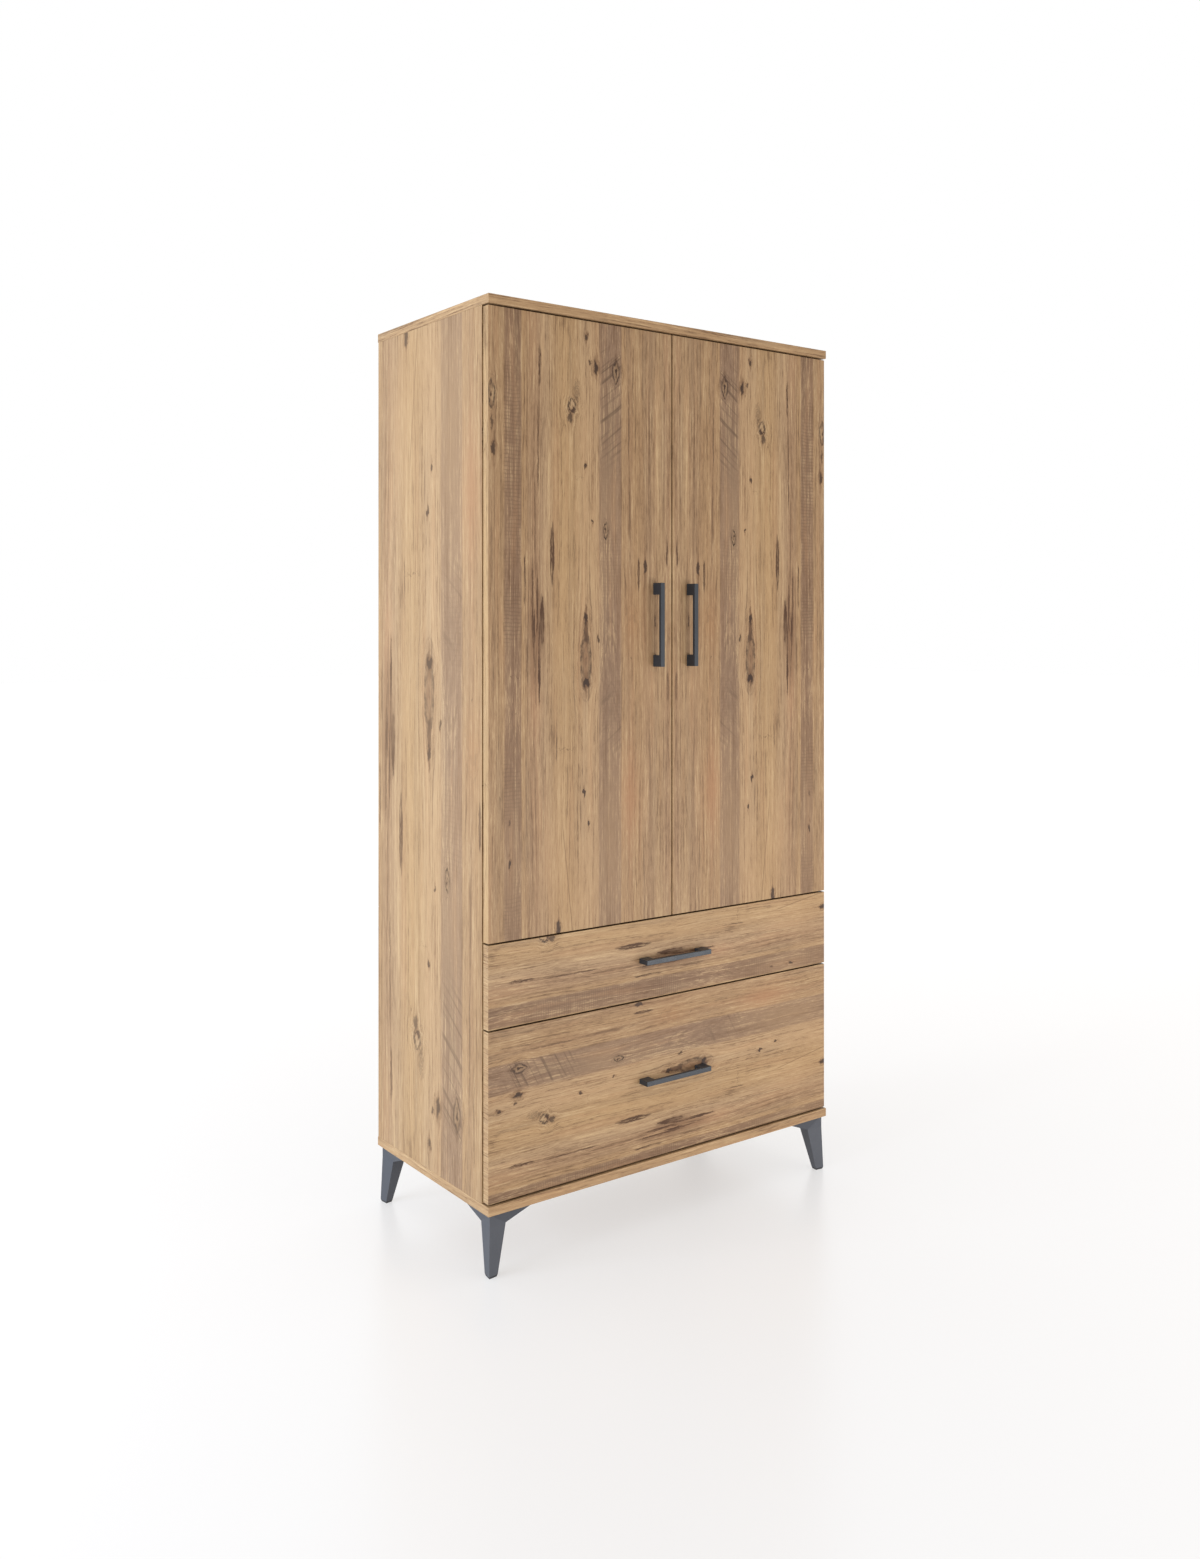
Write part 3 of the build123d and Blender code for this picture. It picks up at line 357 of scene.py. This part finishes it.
class PinePrint:
    """Writes the print's nodes: places across and along the grain, then one kind of mark after another."""

    def __init__(self, tree, place):
        self.n = n = Nodes(tree)
        self.u, self.v, _ = n.split(place)
        self.rag = self.signed_grain(self.u, "rag_u")
        rag_v = self.signed_grain(self.u, "rag_v")
        self.ragged_u = n.add(self.u, n.mul(self.rag, RAGGED_U))
        self.ragged_v = n.add(self.v, n.mul(rag_v, RAGGED_V))
        self.calm_u = n.add(self.u, n.mul(self.rag, CALM_U))
        self.fibre_u = self.bent_fibres()
        self.middle = self.signed_grain(self.fibre_u, "middle")
        self.thread = self.signed_grain(self.fibre_u, "thread")
        self.fine = self.signed_grain(self.fibre_u, "fine")

    def grain(self, across, name):
        """One of the noises drawn out along the grain, from 0 to 1."""
        n = self.n
        per_u, per_v, seed, *look = GRAINS[name]
        return n.noise(n.vector(n.mul(across, per_u), n.mul(self.v, per_v), seed), *look)

    def signed_grain(self, across, name):
        """The same noise from -1 to 1."""
        return self.n.signed(self.grain(across, name))

    def radius(self, spec, grow=1.0, across=None):
        """Squared elliptic distance from a mark's centre, in its own half sizes."""
        n = self.n
        at_u, at_v, half_u, half_v = spec[:4]
        across = self.ragged_u if across is None else across
        du = n.mul(n.sub(across, at_u), 1.0 / (half_u * grow))
        dv = n.mul(n.sub(self.ragged_v, at_v), 1.0 / (half_v * grow))
        return n.add(n.mul(du, du), n.mul(dv, dv))

    def plateau(self, value, edges):
        """Fades in between the first two edges, and out between the last two."""
        rise = self.n.smooth(value, edges[0], edges[1])
        return self.n.mul(rise, self.n.smooth(value, edges[3], edges[2]))

    def bent_fibres(self):
        """The place across the grain, bent round the bigger knots and wandering slowly."""
        n = self.n
        bends = []
        for spec in RINGED + [dot for dot in DOTS if dot[2] > BIG_DOT]:
            near = n.exp_fall(self.radius(spec, BEND_REACH))
            bends.append(n.mul(n.mul(n.sub(self.u, spec[0]), near), BEND_SHARE))
        wander = self.signed_grain(self.u, "wander")
        return n.add(n.sub(self.u, n.total(bends)), n.mul(wander, FIBRE_WANDER))

    def strips(self):
        """The strips of timber."""
        n = self.n
        shift = self.signed_grain(self.u, "shift")
        across = n.add(self.u, n.mul(shift, STRIP_WANDER))
        stops = [(place / PRINT_U, srgb(*colour)) for place, colour in STRIPS]
        return n.ramp(n.mul(across, 1.0 / PRINT_U), stops)

    def growth_lines(self, colour):
        """Broad, middle, long thin and short lines along the grain, and slow changes of hue."""
        n = self.n
        lines = {
            "broad": self.signed_grain(self.fibre_u, "broad"),
            "middle": self.middle,
            "thread": self.thread,
            "fleck": self.signed_grain(self.fibre_u, "fleck"),
            "fine": self.fine,
            "blotch": self.signed_grain(self.u, "blotch"),
        }
        tone = n.total([n.mul(lines[name], share) for name, share in LINE_SHARES.items()])
        colour = n.mix(n.smooth(tone, 0.0, TONE_REACH, 0.0, LIGHTEST), colour, LIGHT_GRAIN)
        colour = n.mix(n.smooth(n.mul(tone, -1.0), 0.0, TONE_REACH, 0.0, DARKEST), colour, DEEP_GRAIN)
        hue = self.signed_grain(self.fibre_u, "hue")
        colour = n.mix(n.smooth(hue, *HUE_EDGES, 0.0, HUE_SHARE), colour, RED_HUE)
        return n.mix(n.smooth(n.mul(hue, -1.0), *HUE_EDGES, 0.0, HUE_SHARE), colour, GREY_HUE)

    def saw_marks(self, colour):
        """Fine bars across the two sawn strips, here and there."""
        n = self.n
        drift = self.grain(self.u, "drift")
        bars = n.math("SINE", n.add(n.mul(self.v, SAW_PITCH), n.mul(drift, SAW_DRIFT)))
        first = self.plateau(self.u, FIRST_SAWN)
        second = n.mul(self.plateau(self.u, SECOND_SAWN), SECOND_SAWN_SHARE)
        patchy = n.smooth(self.grain(self.u, "patchy"), *PATCHY_EDGES)
        sawn = n.mul(n.mul(n.add(first, second), patchy), bars)
        return n.mix(n.smooth(sawn, 0.0, 0.9, 0.0, SAWN_SHARE), colour, SAWN_BROWN)

    def feathers(self, colour):
        """Feathered figure slanting across the second sawn strip, in two stretches."""
        n = self.n
        slant = n.add(n.mul(self.u, FEATHER_SLANT[0]), n.mul(self.v, FEATHER_SLANT[1]))
        feather = self.signed_grain(slant, "feather")
        stretches = [n.mul(self.plateau(self.v, edges), share) for edges, share in FEATHERS]
        zone = n.mul(self.plateau(self.u, SECOND_SAWN), n.total(stretches))
        feather = n.mul(n.smooth(feather, 0.0, 0.3), zone)
        return n.mix(n.mul(feather, FEATHER_SHARE), colour, FEATHER_BROWN)

    def patches(self, colour):
        n = self.n
        for spec in PATCHES:
            strength = n.mul(n.exp_fall(self.radius(spec)), spec[4])
            colour = n.mix(strength, colour, srgb(*spec[5]))
        return colour

    def arches(self, colour):
        """Nested curves that open downwards."""
        n = self.n
        for at_u, at_v, half, length, strength in ARCHES:
            across = n.mul(n.sub(self.ragged_u, at_u), 1.0 / half)
            fall = n.mul(n.mul(across, across), ARCH_CURVE)
            depth = n.sub(n.mul(n.sub(at_v, self.ragged_v), 1.0 / length), fall)
            root = n.math("SQRT", n.math("MAXIMUM", depth, 0.0))
            lines = n.math("SINE", n.mul(root, ARCH_LINES))
            zone = n.mul(n.smooth(depth, 0.0, 0.06), n.smooth(depth, 1.0, 0.4))
            zone = n.mul(zone, n.smooth(n.math("ABSOLUTE", across), 1.7, 1.1))
            worn = n.smooth(self.thread, -0.25, 0.2, 0.25, 1.0)
            lines = n.mul(n.mul(n.smooth(lines, -0.1, 0.9), zone), n.mul(worn, strength))
            colour = n.mix(lines, colour, ARCH_BROWN)
        return colour

    def checks(self):
        """How strong the long dark checks are: they break up along their own streaks."""
        n = self.n
        streak = n.smooth(self.grain(self.fibre_u, "streak"), *STREAK_EDGES)
        marks = []
        for spec in CHECKS:
            marks.append(n.mul(n.smooth(self.radius(spec, 1.0, self.calm_u), 1.5, 0.3), spec[4]))
        return n.mul(n.largest(marks), n.add(n.mul(streak, 1.0 - UNBROKEN), UNBROKEN))

    def hairlines(self):
        """How strong the hairline checks are that lie all over."""
        return self.n.smooth(self.grain(self.fibre_u, "hair"), *HAIR_EDGES)

    def crack(self, colour):
        """One long crack that leans across the foot of the print."""
        n = self.n
        centre = n.add(n.mul(n.sub(self.v, CRACK_AT[1]), CRACK_LEAN), CRACK_AT[0])
        off = n.math("ABSOLUTE", n.sub(n.add(self.u, n.mul(self.rag, CRACK_RAGGED)), centre))
        fade = n.mul(n.smooth(self.v, CRACK_END[1], CRACK_END[0]), CRACK_SHARE)
        return n.mix(n.mul(n.smooth(off, CRACK_HALF, 0.3), fade), colour, CRACK_BROWN)

    def ringed_knots(self, colour):
        """Soft halo, broken dark ring, and a heart that is dark or pale."""
        n = self.n
        broken = n.smooth(self.grain(self.u, "broken"), *BROKEN_EDGES, UNBROKEN, 1.0)
        for spec in RINGED:
            r = n.math("SQRT", self.radius(spec, 1.0, self.calm_u))
            halo = n.smooth(r, HALO_REACH, 1.0)
            rings = n.mul(n.smooth(n.math("SINE", n.mul(r, RING_LINES)), -0.3, 0.9), halo)
            colour = n.mix(n.mul(n.mul(rings, HALO_SHARE), broken), colour, HALO_BROWN)
            ring = n.exp_fall(n.math("POWER", n.mul(n.sub(r, RING_AT), RING_SHARPNESS), 2.0))
            colour = n.mix(n.mul(n.mul(ring, spec[4]), broken), colour, RING_BROWN)
            heart_colour = DARK_HEART if spec[5] > 0 else PALE_HEART
            colour = n.mix(n.mul(n.smooth(r, 0.85, 0.45), abs(spec[5])), colour, heart_colour)
        return colour

    def small_knots(self, colour):
        """A tail along the grain, a brown collar and a nearly black core."""
        n = self.n
        for spec in DOTS:
            r = self.radius(spec)
            tail = self.radius((spec[0], spec[1], spec[2] * TAIL_WIDTH, spec[3] * TAIL_LENGTH))
            soft = spec[4] * SOFT_SHARE
            colour = n.mix(n.mul(n.smooth(tail, 1.8, 0.2), soft), colour, TAIL_BROWN)
            colour = n.mix(n.mul(n.smooth(r, 2.6, 0.7), soft), colour, COLLAR_BROWN)
            colour = n.mix(n.mul(n.smooth(r, 1.25, 0.4), spec[4]), colour, CORE_BROWN)
        return colour


def print_group():
    """The pine print as a node group: its place in the print in, colour and height out."""
    tree = bpy.data.node_groups.new("pine_print", "ShaderNodeTree")
    tree.interface.new_socket("Place", in_out="INPUT", socket_type="NodeSocketVector")
    tree.interface.new_socket("Color", in_out="OUTPUT", socket_type="NodeSocketColor")
    tree.interface.new_socket("Height", in_out="OUTPUT", socket_type="NodeSocketFloat")
    pine = PinePrint(tree, tree.nodes.new("NodeGroupInput").outputs["Place"])
    n = pine.n
    colour = pine.growth_lines(pine.strips())
    for mark in (pine.saw_marks, pine.feathers, pine.patches, pine.arches):
        colour = mark(colour)
    checks, hair = pine.checks(), pine.hairlines()
    colour = n.mix(n.smooth(checks, 0.0, 0.75), colour, CHECK_BROWN)
    colour = n.mix(n.mul(hair, HAIR_SHARE), colour, HAIR_BROWN)
    for mark in (pine.crack, pine.ringed_knots, pine.small_knots):
        colour = mark(colour)

    # The growth lines are slightly embossed, and the checks and hairlines sink.
    depths = {"fine": pine.fine, "middle": pine.middle, "checks": checks, "hair": hair}
    sink = tree.nodes.new("NodeGroupOutput")
    n.put(sink.inputs["Color"], colour)
    height = n.total([n.mul(depths[name], share) for name, share in EMBOSS_SHARES.items()])
    n.put(sink.inputs["Height"], height)
    return tree


PRINT = print_group()


def mapping(u_of, v_of, u_at, v_at):
    """How a face takes the print: directions for u and v in print mm per metre, and offsets."""
    return {"u": tuple(c * 1000.0 for c in u_of), "v": tuple(c * 1000.0 for c in v_of), "at": (u_at, v_at)}


PINE_TINT = (0.747, 0.717, 0.632)     # the board's own darkening of the print colours
# The mean brown the side panels' print is evened toward, a painted stand-in for sheen.
SHEEN_VEIL_COLOUR = srgb(171, 139, 108)
PINE_SPECULAR = 0.25
PINE_BUMP = 0.0004                    # height of the emboss, in metres
ROUGHNESS_BY_HEIGHT = -0.06           # sunk marks are a little rougher than raised grain


def pine_material(name, faces, gain=1.0, rough=0.5, painted_sheen=0.0, gap_shade=1.0, folded=False):
    """Melamine board: the print mapped by which way a face looks, object axes X, Y and Z in turn.

    gain scales the brightness of it all, and the next factor that of the faces that look up or down, a
    painted shade standing in for the shadow in the gaps between the fronts.
    A veil evens out the contrast toward a mean brown: painted sheen, standing in for the sheen that washes
    out the side panels' print. folded turns the print back at its edge, for a sheet wider than it.
    """
    material = bpy.data.materials.new(name)
    material.use_nodes = True
    tree = material.node_tree
    tree.nodes.clear()
    n = Nodes(tree)
    where = tree.nodes.new("ShaderNodeTexCoord")
    place = where.outputs["Object"]
    size = [n.math("ABSOLUTE", c) for c in n.split(where.outputs["Normal"])]
    faces_x = n.mul(n.math("GREATER_THAN", size[0], size[1]), n.math("GREATER_THAN", size[0], size[2]))
    faces_z = n.mul(n.math("GREATER_THAN", size[2], size[1]), n.math("GREATER_THAN", size[2], size[0]))

    def along(which, index):
        parts = []
        for key in ("x", "y", "z"):
            face = faces[key]
            value = n.add(n.dot(place, face[which]), face["at"][index])
            parts.append(value)
        value = n.math("MULTIPLY_ADD", faces_x, n.sub(parts[0], parts[1]), parts[1])
        return n.math("MULTIPLY_ADD", faces_z, n.sub(parts[2], value), value)

    group = tree.nodes.new("ShaderNodeGroup")
    group.node_tree = PRINT
    across = along("u", 0)
    if folded:
        across = n.math("PINGPONG", across, PRINT_U)
    n.put(group.inputs["Place"], n.vector(across, along("v", 1)))
    shader = tree.nodes.new("ShaderNodeBsdfPrincipled")
    tint = tuple(gain * c for c in PINE_TINT) + (1.0,)
    # Painted sheen: the print is evened toward a mean brown, for the sheen that washes out the side
    # panels.
    colour = n.mix(painted_sheen, group.outputs["Color"], SHEEN_VEIL_COLOUR)
    colour = n.mix(1.0, colour, tint, blend="MULTIPLY")
    # Painted shade: faces that look up or down take a darker copy of the colour, for the shadow in the
    # gaps.
    gap_shade_tint = (gap_shade, gap_shade, gap_shade, 1.0)
    colour = n.mix(faces_z, colour, n.mix(1.0, colour, gap_shade_tint, blend="MULTIPLY"))
    n.put(shader.inputs["Base Color"], colour)
    height = group.outputs["Height"]
    roughness = n.math("MULTIPLY_ADD", height, ROUGHNESS_BY_HEIGHT, rough, clamp=True)
    n.put(shader.inputs["Roughness"], roughness)
    shader.inputs["Specular IOR Level"].default_value = PINE_SPECULAR
    bump = tree.nodes.new("ShaderNodeBump")
    bump.inputs["Strength"].default_value = 0.25
    bump.inputs["Distance"].default_value = PINE_BUMP
    n.put(bump.inputs["Height"], height)
    n.put(shader.inputs["Normal"], bump.outputs["Normal"])
    out = tree.nodes.new("ShaderNodeOutputMaterial")
    n.put(out.inputs["Surface"], shader.outputs[0])
    return material


X, Y, Z = (1.0, 0.0, 0.0), (0.0, 1.0, 0.0), (0.0, 0.0, 1.0)


def scaled(axis, factor):
    return tuple(c * factor for c in axis)


# How each face takes the print: grain upright or level, on a broad face or an edge.
DOOR_FRONT = mapping(X, Z, -LEFT_EDGE_MM, 0.0)
DOOR_FRONT_MIRROR = mapping(scaled(X, -1.0), Z, -LEFT_EDGE_MM, 0.0)
MIDDLE_V = 1240.0                     # about the middle of the print's length
EDGE_UPRIGHT = mapping(Y, Z, 375.0, 60.0)
EDGE_LEVEL = mapping(Y, X, 420.0, MIDDLE_V)

# A side panel shows the print upside down and larger, placed by its ringed knot.
KNOT_V = 1740.0
SIDE_SCALE_U = 1.47
SIDE_SCALE_V = 1.41
SIDE_AT_U = 300.0
SIDE_SHIFT_U = 122.0
SIDE_SHIFT_V = 285.0
side_map = mapping(scaled(Y, -1.0 / SIDE_SCALE_U), scaled(Z, -1.0 / SIDE_SCALE_V),
                   SIDE_AT_U + (SIDE_SHIFT_U + CAP_FRONT_MM) / SIDE_SCALE_U,
                   KNOT_V + SIDE_SHIFT_V / SIDE_SCALE_V)

# A drawer front shows the print lying down, with its length squeezed into the front's width.
FRONT_SQUEEZE = 0.746
FRONT_DROP = 82.0
UPPER_FRONT_DROP = 352.0
FRONT_SHIFT = 75.0


def drawer_map(drop):
    along_front = KNOT_V + (FRONT_SHIFT + LEFT_EDGE_MM) / FRONT_SQUEEZE
    return mapping(Z, scaled(X, -1.0 / FRONT_SQUEEZE), -FRONT_DROP - drop, along_front)


LEVEL_FACE = mapping(Y, X, 240.0, MIDDLE_V)
LEVEL_EDGE = mapping(Z, X, 380.0, MIDDLE_V)
SIDE_LEVEL_EDGE = mapping(Z, Y, 380.0, MIDDLE_V)
FRONT_GAP_SHADE = 0.6                       # painted shade: the fronts' top and bottom faces are darkened to stand in for the shadow in the gaps between them


def front_material(name, face):
    """A door's or drawer front's board: its face, and top and bottom faces darkened with painted shade for
    the gaps between the fronts.
    """
    ends = EDGE_UPRIGHT if "door" in name else SIDE_LEVEL_EDGE
    return pine_material(name, {"x": ends, "y": face, "z": EDGE_LEVEL}, gap_shade=FRONT_GAP_SHADE)


materials = {
    "door_left": front_material("pine_door_left", DOOR_FRONT),
    "door_right": front_material("pine_door_right", DOOR_FRONT_MIRROR),
    # The side panels take the painted sheen that evens out their print.
    "side": pine_material("pine_side", {"x": side_map, "y": EDGE_UPRIGHT, "z": EDGE_LEVEL}, painted_sheen=0.2),
    "lower_front": front_material("pine_lower_front", drawer_map(0.0)),
    "upper_front": front_material("pine_upper_front", drawer_map(UPPER_FRONT_DROP)),
    "cap": pine_material("pine_cap", {"x": SIDE_LEVEL_EDGE, "y": LEVEL_EDGE, "z": LEVEL_FACE}, gain=1.04),
    "back": pine_material("pine_back", {"x": side_map, "y": DOOR_FRONT, "z": LEVEL_FACE},
                          gain=0.95, rough=0.6, folded=True),
}

PINE_NODES = {
    "left_door": "door_left", "right_door": "door_right",
    "left_side_panel": "side", "right_side_panel": "side",
    "lower_drawer_front": "lower_front", "upper_drawer_front": "upper_front",
    "top_panel": "cap", "bottom_panel": "cap", "fixed_shelf": "cap", "hat_shelf": "cap",
    "back_panel_upper": "back", "back_panel_lower": "back",
}


def set_material(node_name, material):
    mesh = nodes[node_name].data
    mesh.materials.clear()
    mesh.materials.append(material)


for node_name, key in PINE_NODES.items():
    set_material(node_name, materials[key])

# ---- metals and plastics ---------------------------------------------------------------
SPECKLE_PER_M = 900.0
CLOUDS_PER_M = 25.0


def finish(name, colour, metallic, rough, grain=0.0, bump_size=0.0002, spread=0.06):
    """A plain finish with fine variation: speckle in colour and bump, unevenness in roughness."""
    material = bpy.data.materials.new(name)
    material.use_nodes = True
    tree = material.node_tree
    n = Nodes(tree)
    shader = tree.nodes["Principled BSDF"]
    place = tree.nodes.new("ShaderNodeTexCoord").outputs["Object"]
    x, y, z = n.split(place)
    if grain:
        place = n.vector(n.mul(x, 1.0 + grain), n.mul(y, 1.0 + grain), z)
    speckle = n.noise(place, detail=4.0, rough=0.6, scale=SPECKLE_PER_M)
    cloud = n.noise(place, detail=2.0, scale=CLOUDS_PER_M)
    low = tuple(c * (1.0 - spread) for c in colour) + (1.0,)
    high = tuple(min(1.0, c * (1.0 + spread)) for c in colour) + (1.0,)
    blend = n.smooth(n.add(n.mul(speckle, 0.6), n.mul(cloud, 0.4)), 0.3, 0.7)
    n.put(shader.inputs["Base Color"], n.mix(blend, low, high))
    n.put(shader.inputs["Roughness"], n.smooth(cloud, 0.2, 0.8, rough - 0.05, rough + 0.07))
    shader.inputs["Metallic"].default_value = metallic
    bump = tree.nodes.new("ShaderNodeBump")
    bump.inputs["Strength"].default_value = 0.35
    bump.inputs["Distance"].default_value = bump_size
    n.put(bump.inputs["Height"], speckle)
    n.put(shader.inputs["Normal"], bump.outputs["Normal"])
    return material


FINISHES = {
    "handle_metal": finish("anthracite_handle", (0.030, 0.034, 0.041), 0.3, 0.42, bump_size=0.00006),
    "leg_metal": finish("anthracite_leg", (0.057, 0.060, 0.071), 0.3, 0.45, bump_size=0.0001),
    "glide_plastic": finish("black_glide", (0.012, 0.012, 0.014), 0.0, 0.5),
    "hinge_nickel": finish("nickel", (0.62, 0.60, 0.56), 1.0, 0.26, bump_size=0.00003),
    "runner_zinc": finish("zinc_runner", (0.60, 0.62, 0.65), 1.0, 0.34, grain=6.0, bump_size=0.00003),
    "screw_zinc": finish("zinc_screw", (0.60, 0.60, 0.58), 1.0, 0.3, bump_size=0.00003),
    "cam_zinc": finish("cast_zinc", (0.48, 0.48, 0.48), 1.0, 0.45),
    "rail_chrome": finish("chrome_rail", (0.80, 0.80, 0.82), 1.0, 0.12, bump_size=0.00001),
    "socket_zinc": finish("zinc_socket", (0.62, 0.62, 0.63), 1.0, 0.36),
    "bracket_zinc": finish("zinc_bracket", (0.62, 0.62, 0.62), 1.0, 0.38, bump_size=0.00004),
    "bumper_plastic": finish("clear_bumper", (0.72, 0.72, 0.70), 0.0, 0.3),
    "nail_steel": finish("nail_steel", (0.45, 0.45, 0.45), 1.0, 0.4),
    "pin_zinc": finish("zinc_pin", (0.6, 0.6, 0.6), 1.0, 0.35),
    "dowel_beech": finish("beech_dowel", (0.58, 0.40, 0.23), 0.0, 0.6, grain=8.0, spread=0.18),
    "drawer_box": finish("grey_melamine", (0.40, 0.395, 0.38), 0.0, 0.5,
                         grain=4.0, bump_size=0.0001, spread=0.04),
    "drawer_sheet": finish("grey_sheet", (0.43, 0.425, 0.41), 0.0, 0.55, bump_size=0.0001, spread=0.04),
}
for entry in frame["record"]["subparts"]:
    if entry["material_slot"] in FINISHES:
        set_material(entry["node"], FINISHES[entry["material_slot"]])

# ---- floor, world and lights -----------------------------------------------------------
# The floor is partly lit from within, so that shadows on it stay faint, and slightly glossy.
FLOOR_HALF = 30.0
FLOOR_COLOUR = (0.30, 0.288, 0.28, 1.0)
FLOOR_GLOW_COLOUR = (1.0, 0.995, 0.99, 1.0)
FLOOR_GLOW = 0.54
FLOOR_ROUGHNESS = 0.28
floor_mesh = bpy.data.meshes.new("floor")
FLOOR_SIGNS = ((-1, -1), (1, -1), (1, 1), (-1, 1))
floor_corners = [(x * FLOOR_HALF, y * FLOOR_HALF, 0.0) for x, y in FLOOR_SIGNS]
floor_mesh.from_pydata(floor_corners, [], [(0, 1, 2, 3)])
floor = bpy.data.objects.new("floor", floor_mesh)
scene.collection.objects.link(floor)
floor_material = bpy.data.materials.new("floor")
floor_material.use_nodes = True
floor_shader = floor_material.node_tree.nodes["Principled BSDF"]
floor_shader.inputs["Base Color"].default_value = FLOOR_COLOUR
floor_shader.inputs["Roughness"].default_value = FLOOR_ROUGHNESS
floor_shader.inputs["Emission Color"].default_value = FLOOR_GLOW_COLOUR
floor_shader.inputs["Emission Strength"].default_value = FLOOR_GLOW
floor_mesh.materials.append(floor_material)

world = bpy.data.worlds.new("studio")
world.use_nodes = True
scene.world = world
background = world.node_tree.nodes["Background"]
background.inputs["Color"].default_value = (1.0, 1.0, 1.0, 1.0)
background.inputs["Strength"].default_value = 1.0


def area_light(name, place, target, size, power, colour=(1.0, 1.0, 1.0)):
    """A rectangular light of the given size in metres and power in watts, aimed at a point."""
    data = bpy.data.lights.new(name, "AREA")
    data.shape = "RECTANGLE"
    data.size, data.size_y = size
    data.energy = power
    data.color = colour
    lamp = bpy.data.objects.new(name, data)
    lamp.location = place
    lamp.rotation_euler = (Vector(target) - Vector(place)).to_track_quat("-Z", "Y").to_euler()
    scene.collection.objects.link(lamp)


# A big cool key light on the left lights the side panel, and a low strip in front the legs.
KEY_PLACE = (-4.2, 0.3, 1.1)
KEY_TARGET = (0.0, 0.3, 0.9)
KEY_SIZE = (2.4, 2.4)
KEY_POWER = 224.0
KEY_COLOUR = (0.71, 0.842, 1.0)
FILL_PLACE = (0.9, -2.7, 0.25)
FILL_TARGET = (0.0, -0.2, 0.5)
FILL_SIZE = (2.6, 0.5)
FILL_POWER = 38.0
area_light("key", KEY_PLACE, KEY_TARGET, KEY_SIZE, KEY_POWER, KEY_COLOUR)
area_light("low_fill", FILL_PLACE, FILL_TARGET, FILL_SIZE, FILL_POWER)
